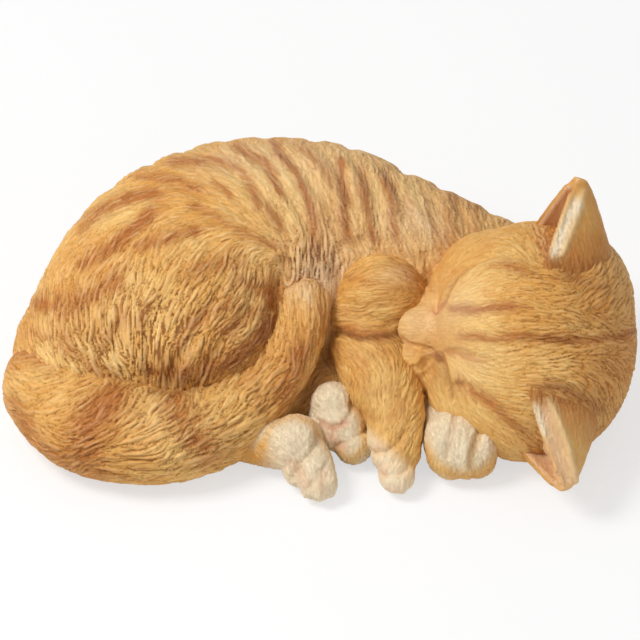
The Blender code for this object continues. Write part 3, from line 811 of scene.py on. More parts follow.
trunk = {
    "grain": 0.70, "softness": 126.0, "seed": 11,
    "spine": [(-114, -26, 32, 41), (-97, 2, 41, 47), (-76, 23, 48, 51.5), (-50, 34, 52, 52),
              (-23, 38, 53, 51.5), (5, 42, 52, 46.5), (33, 35, 45, 41), (55, 29, 41, 40.5),
              (76, 28, 38, 33.5), (97, 22, 34, 28), (113, 3, 33, 26)],
    "masses": [((-20, 30, 30), (108, 56, 46)), ((-28, 0, 12), (104, 54, 24)), ((-76, -10, 40), (60, 50, 50)),
               ((34, 8, 40), (32, 27, 32)), ((60, -22, 13), (34, 36, 20))],
    "folds": [(2.4, 7.0, [(-66, 113), (-54, 105), (-37, 92), (-24, 84), (-15, 80)]),
              (2.6, 6.0, [(-18, 77), (-21, 66), (-22, 53), (-24, 37)]),
              (1.8, 5.5, [(-108, 99), (-82, 101), (-64, 94), (-48, 84)]),
              (1.8, 5.0, [(53, 81), (57, 69), (55, 53)]),
              (1.2, 6.0, [(5, 73), (13, 84), (26, 90), (41, 89)])],
    "partings": [[(-75, 130), (-50, 116), (-29, 98), (-14, 86)],
                 [(-64, 152), (-40, 135), (-22, 111), (-15, 91)],
                 [(-41, 158), (-22, 135), (-10, 111), (-3, 86)], [(-22, 158), (-9, 140), (4, 116), (8, 91)],
                 [(1, 156), (11, 137), (16, 114), (18, 93)], [(16, 150), (25, 131), (30, 110), (33, 93)],
                 [(33, 143), (40, 124), (46, 101)], [(50, 133), (57, 117), (62, 92)],
                 [(67, 124), (72, 109), (74, 89)],
                 [(-110, 124), (-92, 139), (-74, 148)],
                 [(-150, 46), (-140, 73), (-121, 103), (-97, 123), (-81, 129)],
                 [(-139, 35), (-130, 56), (-114, 78), (-91, 89)],
                 [(-124, 21), (-115, 46), (-99, 67), (-78, 76), (-58, 73)],
                 [(-102, 0), (-105, 21), (-100, 42), (-91, 56)],
                 [(-86, -17), (-88, 10), (-83, 35), (-73, 53)], [(-78, -16), (-68, 10), (-58, 35), (-48, 56)],
                 [(-61, -10), (-49, 14), (-39, 35), (-32, 56)]],
    "backStarts": (-131, -112, -90, -72, -49, -30, -7, 11, 34, 51, 73),
    "backRun": [(0, 94), (9, 72), (20, 44), (34, 14)],
    "partingDepth": 1.7, "partingHalfWidth": 5.0, "lip": 2.8, "pocket": 4.4,
    "fur": {"long": 18.0, "wide": 4.4, "high": 1.0, "spacing": 4.2, "wave": 0.28, "sway": 0.22, "reach": 17.0,
            "strand": 1.42, "strandLong": 30.0, "cut": 1.55, "hollow": 0.20, "wash": 0.74},
    "guides": [(60, 290, 70), (50, 312, 86), (70, 260, 55), (85, 238, 45), (100, 215, 36), (120, 196, 24),
               (150, 180, 14), (185, 165, -4), (210, 175, -28), (235, 165, -38), (255, 150, -42),
               (240, 195, -42), (215, 205, -30), (250, 225, -38), (275, 215, -52), (290, 190, -58),
               (300, 165, -60), (320, 180, -66), (345, 180, -78), (350, 215, -76), (340, 245, -70),
               (365, 220, -74), (385, 200, -72), (400, 235, -62), (400, 200, -70), (425, 225, -60),
               (445, 205, -64), (440, 245, -58), (470, 215, -70), (490, 220, -70), (305, 235, -70),
               (300, 262, -112), (320, 270, -116), (335, 290, -115), (310, 290, -108), (285, 245, -45),
               (150, 205, 22), (175, 215, 14), (200, 225, 0), (110, 240, 42), (130, 228, 36), (95, 270, 58),
               (120, 262, 58), (80, 310, 80), (100, 300, 72), (60, 335, 112), (75, 345, 125),
               (95, 360, 125), (120, 372, 125), (140, 385, 118), (155, 392, 105), (165, 380, 86),
               (180, 388, 66), (205, 380, 58), (230, 362, 46), (250, 345, 48), (265, 320, 62),
               (272, 300, 80), (262, 280, 88), (240, 262, 60), (215, 250, 48), (190, 245, 50),
               (165, 250, 55), (145, 262, 60), (130, 290, 68), (110, 320, 82), (130, 335, 98),
               (105, 340, 118), (125, 355, 116), (145, 360, 102), (160, 340, 78), (160, 310, 70),
               (190, 300, 62), (185, 330, 64), (210, 330, 52), (215, 300, 60), (240, 300, 66),
               (235, 330, 46), (190, 270, 55), (160, 280, 62), (220, 275, 58), (250, 290, 72),
               (190, 360, 62), (215, 350, 50)],
    "behind": (0.55, 0.0, -1.0),
    "bands": [
        (((83, 226), (104, 208), (135, 196), (156, 194)), 4.5, 0.85),
        (((138, 177), (167, 179), (199, 189)), 3.0, 0.7),
        (((171, 161), (221, 159), (240, 170), (249, 182), (257, 205)), 3.5, 0.75),
        (((235, 147), (265, 162), (281, 194)), 3.0, 0.8),
        (((268, 206), (280, 226)), 3.5, 0.6),
        (((272, 143), (292, 167), (306, 194), (315, 228), (313, 249)), 3.0, 0.8),
        (((301, 147), (324, 167), (330, 184)), 3.0, 0.55),
        (((340, 160), (341, 178), (344, 202), (341, 214), (346, 236)), 3.2, 0.95),
        (((360, 168), (364, 199), (369, 216), (374, 240)), 3.4, 0.75),
        (((383, 172), (392, 193), (391, 218), (396, 238)), 3.6, 0.8),
        (((404, 185), (410, 214), (416, 236)), 3.0, 0.35),
        (((425, 192), (431, 216), (434, 240)), 3.5, 0.3),
        (((453, 192), (448, 216), (445, 240)), 5.0, 0.5),
        (((472, 200), (474, 232)), 4.5, 0.4),
        (((150, 212), (131, 230), (114, 247), (100, 258), (83, 265)), 5.0, 0.9),
        (((196, 231), (160, 242), (139, 248)), 4.0, 0.85),
        (((213, 182), (228, 195)), 3.0, 0.7),
        (((192, 205), (214, 217), (247, 235), (287, 249)), 2.6, 0.6),
        (((115, 283), (95, 295), (64, 309), (38, 304)), 6.5, 0.85),
        (((30, 333), (60, 340), (80, 332)), 5.0, 0.5),
        (((188, 277), (205, 268), (238, 264)), 5.5, 0.6),
        (((236, 278), (255, 286), (270, 294)), 6.0, 0.65),
        (((178, 344), (192, 326), (212, 312), (238, 305)), 5.0, 0.6),
        (((226, 331), (248, 318), (268, 304)), 5.5, 0.75),
        (((150, 372), (190, 374), (232, 362), (256, 342), (270, 322)), 6.0, 0.8),
        (((100, 345), (113, 330), (124, 318)), 5.0, 0.6),
        (((140, 322), (146, 308)), 5.0, 0.5),
        (((60, 345), (84, 362), (118, 384)), 5.0, 0.55),
    ],
    "thigh": ((170, 335), (115, 85)), "boldThigh": ((165, 335), (105, 80)), "belly": ((313, 260), (27, 24)),
    "lockSize": {"rest": 0.56, "thigh": 0.50, "belly": 0.40}, "smoothTop": (84.0, 102.0),
    "boldCuts": {"rest": 0.24, "thigh": 0.32, "belly": 0.30},
    "bandStrength": 1.35, "topBandWidth": 5.0,
    "topBands": [(-119, 0.8), (-92, 0.6), (-74, 0.7), (-42, 0.8), (-23, 0.7), (-10, 0.5), (10, 0.9),
                 (22, 0.6), (33, 0.7), (52, 0.5), (66, 0.8), (84, 0.6), (104, 0.6), (-140, 0.5), (-56, 0.4)],
    "grey": ((318, 268), (24, 22)), "pale": [((415, 215), (26, 20), 0.24), ((235, 158), (70, 20), 0.28)],
    "deeperWashAndPaintedHighlight": [((128, 352), (56, 40), 0.5), ((313, 260), (27, 24), 0.5)],
    "shadows": [(((272, 318), (262, 338), (240, 360), (205, 378), (160, 384)), 9.0, 0.48),
                (((284, 258), (279, 272), (276, 300)), 4.0, 0.45),
                (((330, 262), (336, 290), (334, 330)), 6.0, 0.5)],
    "shadowAtTail": [(((298, 414), (312, 386), (325, 364), (334, 338)), 7.0, 0.6)],
    "backFrom": 47.0, "shoulderFrom": -22.0,      # where the body is parted into three pieces
}


def sculptTrunk():
    clay = []
    limb(clay, trunk["spine"])
    heap(clay, trunk["masses"])
    piece = newPiece(clay, trunk)
    spots = toPhoto(piece["points"])
    front = seen(piece["normals"])
    depth, halfWidth = trunk["partingDepth"], trunk["partingHalfWidth"]
    press(piece, trunk["folds"] + [(depth, halfWidth, line) for line in trunk["partings"]])
    rearLines = [[(start + along, rise) for along, rise in trunk["backRun"]] for start in trunk["backStarts"]]
    press(piece, [(depth, halfWidth, line) for line in rearLines], (0.0, 1.0, 0.0))
    thigh, boldThigh, belly = (blob(spots, *trunk[key]) * front for key in ("thigh", "boldThigh", "belly"))
    share = trunk["lockSize"]
    length = offGround(piece, 7.0) * (share["rest"] + share["thigh"] * thigh + share["belly"] * belly)
    length = length * (1.0 - 0.30 * ease(piece["points"][:, 2], *trunk["smoothTop"]))
    share = trunk["boldCuts"]
    layFur(piece, trunk, length, share["rest"] + share["thigh"] * boldThigh + share["belly"] * belly)
    # a pocket for the closing plate, a little way in from the rim
    inner = piece["points"][:, 2] < baseHeight + 0.01
    for _ in range(round(trunk["lip"] / (trunk["grain"] * coarser))):
        inner = inner & inner[piece["table"]].all(axis=1)
    piece["points"][inner, 2] += trunk["pocket"]
    return piece


def paintTrunk(piece):
    points = piece["points"]
    spots = toPhoto(points)
    front = seen(piece["normals"])
    stripe = np.clip(trunk["bandStrength"] * bandMask(piece, trunk["bands"], 31), 0.0, 1.0)
    stripe = np.maximum(stripe, rearBands(piece, trunk["topBands"], trunk["topBandWidth"], 41))
    grey = blob(spots, *trunk["grey"]) * front
    deeperWashAndPaintedHighlight = ease(points[:, 2], 40.0, 95.0) * ease(points[:, 0], -60.0, 10.0)     # painted highlight: paler towards the top of the shoulder, where the light falls from above
    pale = dabs(spots, trunk["pale"]) * front + 0.20 * deeperWashAndPaintedHighlight
    cream = np.clip(0.55 * grey + pale * (1.0 - 0.7 * stripe), 0.0, 1.0)
    shade = strokes(spots, trunk["shadows"]) * front + strokes(spots, trunk["shadowAtTail"])
    # deeper wash in the cuts and more dry brush on the ridges over the lower thigh and the belly
    piece["groove"] = piece["groove"] * (1.0 + dabs(spots, trunk["deeperWashAndPaintedHighlight"]) * front)
    return paintMarks(piece, perLock(piece, stripe, 0.65), perLock(piece, cream),
                      perLock(piece, 0.15 * grey), shade)


def makeTrunk():
    piece = sculptTrunk()
    marks = paintTrunk(piece)
    middles = piece["points"][piece["faces"]].mean(axis=1)
    rear = middles[:, 1] > trunk["backFrom"]
    haunch = ~rear & (middles[:, 0] < trunk["shoulderFrom"])
    for name, part in (("haunchFur", haunch), ("shoulderFur", ~rear & ~haunch), ("backFur", rear)):
        finishPiece(name, piece, marks, "body_shell", "ginger_resin", np.flatnonzero(part))


makeTrunk()

head = {
    "grain": 0.66, "softness": 20.0, "seed": 51, "centre": (100.0, -27.0, 52.0), "roll": 38.0, "sag": 6.5,
    # in the head's own axes: forward, to the far side and up to the crown
    "masses": [((-8, -6.5, 0), (52, 61, 46)), ((-28, 8, 0), (31, 43, 38)), ((-5, 0, 8), (47, 45, 41)),
               ((10, 24.3, -6), (32, 27, 29)), ((45, 10, -12), (14, 13.4, 12)),      # far cheek, whisker pad
               ((14, -30.7, -6), (32, 27, 29)), ((45, -10, -12), (14, 13.4, 12)),    # the near ones
               ((32, -2, -8), (24, 26.4, 19)), ((42, 0, 1), (19, 13.2, 11)), ((28, 0, 6), (20, 12, 12)),
               ((40, 0, -23), (13, 10, 9)), ((26.5, 22.5, -8), (19, 15, 17))],
    # in the statue's own axes
    "fills": [((98, -68, 20), (16, 14, 16)), ((47.5, -38.2, 40.5), (9.8, 8.8, 9)), ((57.5, -40, 31.5), 10),
              ((134.5, -49.5, 26), (18, 15.5, 17))],
    "fur": {"long": 13.0, "wide": 3.6, "high": 0.8, "spacing": 3.4, "wave": 0.2, "sway": 0.16, "reach": 12.0,
            "strand": 1.2, "strandLong": 21.0, "cut": 0.9, "hollow": 0.18, "wash": 0.60},
    "furrows": [(3.0, 3.6, [(58, 37), (62, 45), (64, 52), (69, 64), (74, 69), (80, 74), (88, 77)]),
                (-1.4, 5.0, [(65, 41), (67, 51), (71, 61), (77, 67), (84, 71)]),
                (3.0, 3.6, [(57, 8), (60, 4), (62, -3), (64, -14), (66, -27)]),
                (-1.3, 5.0, [(65, 9), (66, -1), (69, -14)]),
                (1.5, 3.2, [(39, 19), (44, 14), (52, 11), (58, 9)]),
                (1.5, 3.2, [(40, 2), (44, -4), (51, -2), (56, 6)]),
                (1.3, 4.5, [(101, 19), (121, 16), (141, 17), (159, 24)]),
                (1.6, 4.5, [(69, -13), (78, -19), (87, -31)]), (1.4, 4.5, [(63, 10), (70, 8), (78, 4)]),
                (-1.4, 8.0, [(56, 50), (59, 57), (62, 66)])],
    "guides": [(455, 320, 0), (480, 310, 3), (470, 335, -3), (500, 300, 6), (520, 320, -6), (545, 328, -14),
               (575, 325, -20), (600, 325, -20), (620, 332, 0), (540, 347, 24), (570, 347, 20),
               (600, 347, 15), (520, 365, 30), (545, 362, 16), (575, 362, -10), (600, 372, -45),
               (615, 400, -62), (555, 388, -32), (580, 392, -48), (490, 352, -2), (490, 378, -22),
               (510, 398, -18), (505, 420, -38), (480, 420, -48), (455, 382, -65), (448, 400, -70),
               (560, 292, -8), (580, 286, 45), (605, 296, 48), (625, 312, 55), (545, 300, -12),
               (440, 330, -5), (415, 320, 180), (445, 290, 45), (432, 275, 62), (450, 255, 42),
               (475, 240, 28), (500, 232, 8), (520, 236, -40), (535, 250, -55), (500, 270, 8),
               (470, 282, 25), (530, 280, -8), (450, 430, -45), (520, 445, -30), (500, 440, -40)],
    "behind": (1.0, 0.1, -0.35),
    "bands": [
        (((452, 309), (474, 311), (492, 309), (512, 305)), 3.4, 1.0),
        (((462, 336), (490, 338), (520, 337), (560, 341), (600, 340), (634, 331)), 3.4, 0.85),
        (((444, 350), (458, 353), (474, 359)), 2.6, 0.7),
        (((457, 380), (472, 388), (490, 403), (512, 424)), 3.8, 0.9),
        (((490, 267), (503, 264), (520, 270)), 3.2, 0.8),
        (((538, 384), (556, 387), (582, 398)), 5.0, 0.75),
        (((556, 276), (578, 280), (606, 288)), 6.0, 0.6),
        (((602, 360), (614, 368), (624, 382)), 4.0, 0.6),
        (((606, 300), (622, 306), (634, 318)), 4.0, 0.45),
        (((520, 430), (532, 442), (528, 456)), 5.0, 0.5),
    ],
    # the far eye, the near eye, the nose and the mouth
    "cuts": [(((436, 312), (443, 301), (447, 291), (456, 275), (466, 267), (479, 260), (495, 256)),
              2.0, 1.2, 0.3),
             (((432, 353), (439, 359), (442, 368), (446, 384), (451, 402)), 2.0, 1.0, 0.3),
             (((398, 340), (408, 345), (424, 348), (434, 352)), 2.2, 0.5),
             (((413, 373), (424, 369), (431, 360)), 1.8, 0.8)],
    "swells": [((408, 315), (12, 14), 0.6)],
    "shortFur": [((415, 322), (34, 34), 1.0), ((447, 330), (22, 44), 0.9), ((436, 285), (14, 26), 0.8, -25)],
    "longFrom": (470.0, 560.0), "shortest": 0.16,
    "rearBands": [(118, 0.6), (136, 0.7), (150, 0.6)], "brownNape": (112.0, 140.0),
    "pale": [((424, 322), (36, 26), 0.24), ((462, 296), (24, 22), 0.14), ((470, 365), (28, 20), 0.12)],
    "corners": [(((435, 312), (442, 304)), 3.2, 1.0), (((432, 353), (439, 358)), 2.6, 0.7),
                (((400, 338), (408, 345)), 3.0, 0.35)],
    "bareSkin": ((545, 243), (8, 17), 22),      # at the root of the far ear
    "shadows": [(((436, 354), (441, 361), (445, 376), (449, 396)), 3.0, 0.45),
                (((437, 311), (444, 299), (450, 285), (458, 274), (470, 265), (488, 257)), 1.8, 0.40, 0.3),
                (((433, 356), (438, 361)), 2.4, 0.6),
                (((540, 388), (560, 386), (584, 396), (600, 410)), 6.0, 0.45),
                (((562, 276), (582, 282), (606, 290)), 6.0, 0.35),
                (((520, 338), (560, 342), (600, 341), (634, 332)), 4.0, 0.18)],
    "shadowDabs": [((436, 376), (8, 20), 0.30, 12)],
}
roll = math.radians(head["roll"])
headAxes = Matrix(((-1.0, 0.0, 0.0), (0.0, math.cos(roll), math.sin(roll)),
                   (0.0, -math.sin(roll), math.cos(roll)))).transposed()


def headPlace(forward, farSide, crown):
    return Vector(head["centre"]) + headAxes @ Vector((forward, farSide, crown))


def sculptHead():
    clay = []
    for spot, radii in head["masses"]:
        ball(clay, headPlace(*spot), radii, headAxes)
    heap(clay, head["fills"])
    piece = newPiece(clay, head)
    spots = toPhoto(piece["points"])
    front = seen(piece["normals"])
    press(piece, head["furrows"])
    pushOut(piece, (dabs(spots, head["swells"]) - strokes(spots, head["cuts"])) * front)
    length = np.clip(1.0 - dabs(spots, head["shortFur"]) * front, 0.0, 1.0)
    length *= 0.62 + 0.38 * ease(spots[:, 0], *head["longFrom"])
    length *= offGround(piece, 7.0)
    layFur(piece, head, np.maximum(length, head["shortest"]))
    return piece, front, spots


def makeHead():
    piece, front, spots = sculptHead()
    stripe = bandMask(piece, head["bands"], 61)
    stripe = np.maximum(stripe, rearBands(piece, head["rearBands"], 5.0, 65))
    stripe = np.maximum(stripe, 0.38 * ease(piece["points"][:, 0], *head["brownNape"]))
    bare = blob(spots, *head["bareSkin"]) * front
    stripe = np.maximum(stripe, 0.55 * bare)
    cream = np.clip(dabs(spots, head["pale"]) * front, 0.0, 1.0)
    pink = np.clip(0.8 * strokes(spots, head["corners"]) * front + 0.35 * bare, 0.0, 1.0)
    shade = (strokes(spots, head["shadows"]) + dabs(spots, head["shadowDabs"])) * front
    marks = paintMarks(piece, perLock(piece, stripe, 0.4), cream, pink, shade)
    finishPiece("headFur", piece, marks, "head", "ginger_resin")


makeHead()

ears = {
    "grain": 0.62, "softness": 1.6, "length": 55.0, "root": 17.0, "width": 50.0, "depth": 45.0, "wall": 5.2,
    "wrap": 215.0, "tip": 1.8, "spread": 45.14, "rows": 14, "steps": 40, "rim": 2.9, "rimTaper": 1.1,
    "cupDepth": 4.5, "pads": (0.15, 0.27, 0.39, 0.51, 0.63, 0.74, 0.83), "padThick": 6.5, "tipBall": 4.6,
    # where the root sits, and in the head's own axes which way an ear rises and opens
    "crown": 20.0, "rise": (0.86, 0.38), "opening": (0.93, 0.10, 0.30),
    "cream": {"tuft": 0.70, "ridge": 0.20, "cup": 0.45, "inside": 0.40},
    "far": {"side": 1.0, "ahead": -20.0, "lean": 0.27, "seed": 71,
            "guides": [(575, 240, 100), (590, 220, 110)],
            "tuft": ([(577, 206), (567, 222), (561, 238), (555, 253)], 6.0),
            "ridge": ([(583, 192), (578, 212), (571, 232), (562, 254)], 3.4),
            "cup": ([(575, 200), (565, 222), (554, 250)], 5.0), "pink": 0.0},
    "near": {"side": -1.0, "ahead": -13.0, "lean": 0.26, "seed": 75,
             "guides": [(575, 430, -80), (565, 460, -75)],
             "tuft": ([(535, 408), (539, 420), (543, 432)], 5.0),
             "ridge": ([(549, 400), (560, 424), (568, 446), (573, 468), (576, 482)], 3.4),
             "cup": ([(545, 414), (552, 436), (560, 460), (566, 480)], 9.0), "pink": 0.40},
    "fur": {"long": 9.0, "wide": 2.4, "high": 0.35, "spacing": 2.4, "wave": 0.12, "sway": 0.12, "reach": 14.0,
            "strand": 1.1, "strandLong": 14.0, "cut": 0.45, "hollow": 0.18, "wash": 0.3},
}


def earHalfWidth(way):
    # Half the width of an ear, from its root at 0 to its tip at 1
    return ears["tip"] + (0.5 * ears["width"] - ears["tip"]) * np.clip(1.0 - way, 0.0, 1.0) ** 0.85


def joinRows(shell, first, second, flip=False):
    for a, b, c, d in zip(first, first[1:], second[1:], second):
        shell.faces.new((a, d, c, b) if flip else (a, b, c, d))


def earShell(clay, buried, placed, sweep, stretch):
    # A half cone with a wall and a soft bead along each open rim
    rows, steps = ears["rows"], ears["steps"]
    shell = bmesh.new()
    walls = []
    for offset in (0.5 * ears["wall"], -0.5 * ears["wall"]):
        grid = []
        for row in range(rows + 1):
            way = row / rows
            r = max(float(earHalfWidth(way)) + offset * (1.0 - 0.35 * way), 0.4)
            z = ears["length"] * way + 0.4 * offset * (1.0 - way)
            turns = [math.pi + sweep * (step / steps - 0.5) for step in range(steps + 1)]
            line = [Vector((r * math.cos(turn) * stretch, r * math.sin(turn), z)) for turn in turns]
            grid.append([shell.verts.new(buried + placed @ spot) for spot in line])
        walls.append(grid)
    outer, inner = walls
    for row in range(rows):
        joinRows(shell, outer[row], outer[row + 1])
        joinRows(shell, inner[row], inner[row + 1], True)
    joinRows(shell, outer[0], inner[0], True)
    joinRows(shell, outer[rows], inner[rows])
    for end, flip in ((0, False), (steps, True)):
        joinRows(shell, [line[end] for line in outer], [line[end] for line in inner], flip)
    bmesh.ops.recalc_face_normals(shell, faces=shell.faces)
    mesh = bpy.data.meshes.new("earShell")
    shell.to_mesh(mesh)
    addMesh(clay, mesh)
    for end in (0, steps):
        rim = [(outer[row][end].co + inner[row][end].co) / 2.0 for row in range(0, rows - 1, 2)]
        limb(clay, [(*spot, ears["rim"] - ears["rimTaper"] * row / len(rim)) for row, spot in enumerate(rim)])
    shell.free()


def sculptEar(ear):
    sweep = math.radians(ears["wrap"])
    stretch = ears["depth"] / (0.5 * ears["width"] * (1.0 - math.cos(0.5 * sweep)))
    sideways, upward = ears["rise"]
    rise = (headAxes @ Vector((-ear["lean"], ear["side"] * sideways, upward))).normalized()
    ahead, sideways, upward = ears["opening"]
    front = headAxes @ Vector((ahead, ear["side"] * sideways, upward))
    front = (front - front.dot(rise) * rise).normalized()
    across = rise.cross(front)
    placed = Matrix((front, across, rise)).transposed()
    root = headPlace(ear["ahead"], ear["side"] * ears["spread"] - head["sag"], ears["crown"])
    buried = root - rise * ears["root"]
    clay = []
    earShell(clay, buried, placed, sweep, stretch)
    ball(clay, buried + rise * (ears["length"] - 5.0) - front * 2.6, ears["tipBall"])
    # the cup is closed with a pad of fur a little below its rim
    rimAhead = math.cos(math.pi - 0.5 * sweep) * stretch     # how far the rim is before the middle
    for way in ears["pads"]:
        radius = float(earHalfWidth(way))
        ahead, behind = rimAhead * radius - ears["cupDepth"] * (1.0 - 0.6 * way), -radius * stretch
        middle = buried + rise * (ears["length"] * way) + front * (0.5 * (ahead + behind))
        ball(clay, middle, (0.5 * (ahead - behind), 0.90 * radius, ears["padThick"]), placed)
    piece = newPiece(clay, ears)
    axis = np.array(rise)
    rel = piece["points"] - np.array(buried)
    up = rel @ axis
    radial = rel - up[:, None] * axis
    inside = np.einsum("ij,ij->i", piece["normals"], unit(radial)) < -0.15
    wide = earHalfWidth(up / ears["length"])
    inside |= ((piece["normals"] @ np.array(front) > 0.3) & (np.abs(radial @ np.array(across)) < 0.92 * wide)
               & (radial @ np.array(front) < rimAhead * wide - 0.8))
    return piece, up / ears["length"], inside, tuple(axis)


def makeEar(name, node, ear):
    piece, up, inside, axis = sculptEar(ear)
    spots = toPhoto(piece["points"])
    outside = ~inside * seen(piece["normals"], -0.1, 0.2)
    tuft, ridge, cup = (stroke(spots, *ear[key]) * outside for key in ("tuft", "ridge", "cup"))
    pushOut(piece, 1.4 * ridge - 1.5 * cup * (1.0 - ridge))
    length = np.where(inside, 0.55, 0.6) * ease(-up, -0.97, -0.75) + 0.9 * tuft
    length = length + 0.9 * ease(-up, -0.5, -0.25) * ~inside
    layFur(piece, {**ears, **ear, "behind": axis}, length)
    share = ears["cream"]
    cream = share["tuft"] * tuft + share["ridge"] * ridge + share["cup"] * cup + share["inside"] * inside
    brown = (0.30 + 0.45 * ease(-up, -0.75, -0.35)) * ~inside * (1.0 - np.clip(ridge + cup + tuft, 0.0, 1.0))
    pink = 0.45 * inside * ease(up, 0.1, 0.3) + ear["pink"] * cup * (1.0 - tuft)
    shade = 0.18 * inside * ease(-up, -0.5, -0.25) + 0.25 * ~inside * ease(-up, -0.42, -0.28)
    cream, brown, pink = (np.clip(mark, 0.0, 1.0) for mark in (cream, brown, pink))
    marks = paintMarks(piece, brown, cream, pink, shade)
    finishPiece(name, piece, marks, node, "ginger_resin")


makeEar("farEarFur", "ear_far", ears["far"])
makeEar("nearEarFur", "ear_near", ears["near"])

tail = {
    "grain": 0.74, "softness": 15.0, "seed": 81, "thick": 26.5, "thin": 12.0,
    "route": [(-134, -44, 27, 0), (-125.5, -64, 26.5, 0), (-104, -73.5, 26, 0), (-80, -77, 24, 0.2),
              (-60, -71, 22.5, 0.3), (-42, -60, 24, 0.45), (-28, -47, 30, 0.68), (-18, -37, 38, 0.80),
              (-11, -29, 48.5, 0.88), (-7.5, -21, 55.5, 0.96), (-7, -16, 59.5, 1.0)],
    "curl": ((-17.5, -13, 51.5), (6.5, 6.5, 7.5)),      # closes the crook of the curled tip
    "fur": {"long": 20.0, "wide": 4.4, "high": 1.05, "spacing": 4.4, "wave": 0.28, "sway": 0.20,
            "reach": 15.0, "strand": 1.42, "strandLong": 28.0, "cut": 1.45, "hollow": 0.20, "wash": 0.64},
    "guides": [(25, 350, 8), (20, 372, -15), (10, 385, -40), (55, 365, 8), (75, 380, 24), (45, 400, 22),
               (30, 385, 12), (100, 405, 48), (90, 425, 46), (80, 448, 38), (120, 430, 46), (150, 402, 36),
               (150, 425, 50), (185, 402, 56), (160, 445, 42), (190, 430, 44), (200, 450, 25),
               (210, 412, 54), (235, 402, 50), (250, 390, 48), (270, 380, 52), (285, 355, 66),
               (300, 330, 80), (278, 345, 72), (312, 302, 92), (300, 285, 92), (292, 310, 108),
               (322, 325, 84), (312, 360, 68), (298, 392, 56), (240, 430, 20), (140, 470, -8),
               (110, 465, -12), (60, 450, -25), (30, 430, -40), (270, 410, 40), (285, 400, 48)],
    "behind": (0.9, 0.0, -0.3),
    "bands": [
        (((6, 350), (22, 346), (52, 356)), 11.0, 0.8),
        (((112, 400), (92, 414), (78, 436), (84, 450)), 13.0, 0.9),
        (((172, 405), (182, 425), (196, 446), (206, 456)), 11.0, 0.85),
        (((10, 402), (30, 440), (62, 462), (100, 474)), 6.0, 0.65),
        (((248, 372), (258, 392), (262, 412)), 8.0, 0.5),
        (((300, 352), (288, 380), (284, 398)), 9.0, 0.8),
        (((326, 318), (322, 344)), 7.0, 0.55),
    ],
    "bold": 0.42, "bandStrength": 1.25, "rearBands": [(-150, 0.8), (-118, 0.6)],
    "rumpFade": (20.0, 90.0), "tipFade": (270.0, 300.0),
    "pale": [((305, 292), (20, 18), 0.5), ((140, 425), (16, 22), 0.10)],
    "shadows": [(((150, 392), (190, 392), (225, 380), (252, 360), (270, 330)), 4.0, 0.45)],
    "shadowAtFoot": [(((332, 330), (328, 352), (318, 380), (296, 408)), 5.0, 0.5)],
}


def makeTail():
    clay = []
    thick, thin = tail["thick"], tail["thin"]
    limb(clay, [(x, y, z, thick + (thin - thick) * way) for x, y, z, way in tail["route"]])
    ball(clay, *tail["curl"])
    piece = newPiece(clay, tail)
    spots = toPhoto(piece["points"])
    length = offGround(piece, 8.0)
    length *= 0.72 + 0.28 * ease(spots[:, 0], *tail["rumpFade"])
    length *= 1.0 - 0.25 * ease(spots[:, 0], *tail["tipFade"])
    layFur(piece, tail, length, tail["bold"])
    front = seen(piece["normals"])
    stripe = np.clip(tail["bandStrength"] * bandMask(piece, tail["bands"], 91), 0.0, 1.0)
    stripe = np.maximum(stripe, rearBands(piece, tail["rearBands"], 9.0, 95))
    pale = dabs(spots, tail["pale"]) * front
    shade = strokes(spots, tail["shadows"]) * front + strokes(spots, tail["shadowAtFoot"])
    marks = paintMarks(piece, perLock(piece, stripe, 0.6), perLock(piece, pale), np.zeros(len(pale)), shade)
    finishPiece("tailFur", piece, marks, "tail", "ginger_resin")


makeTail()

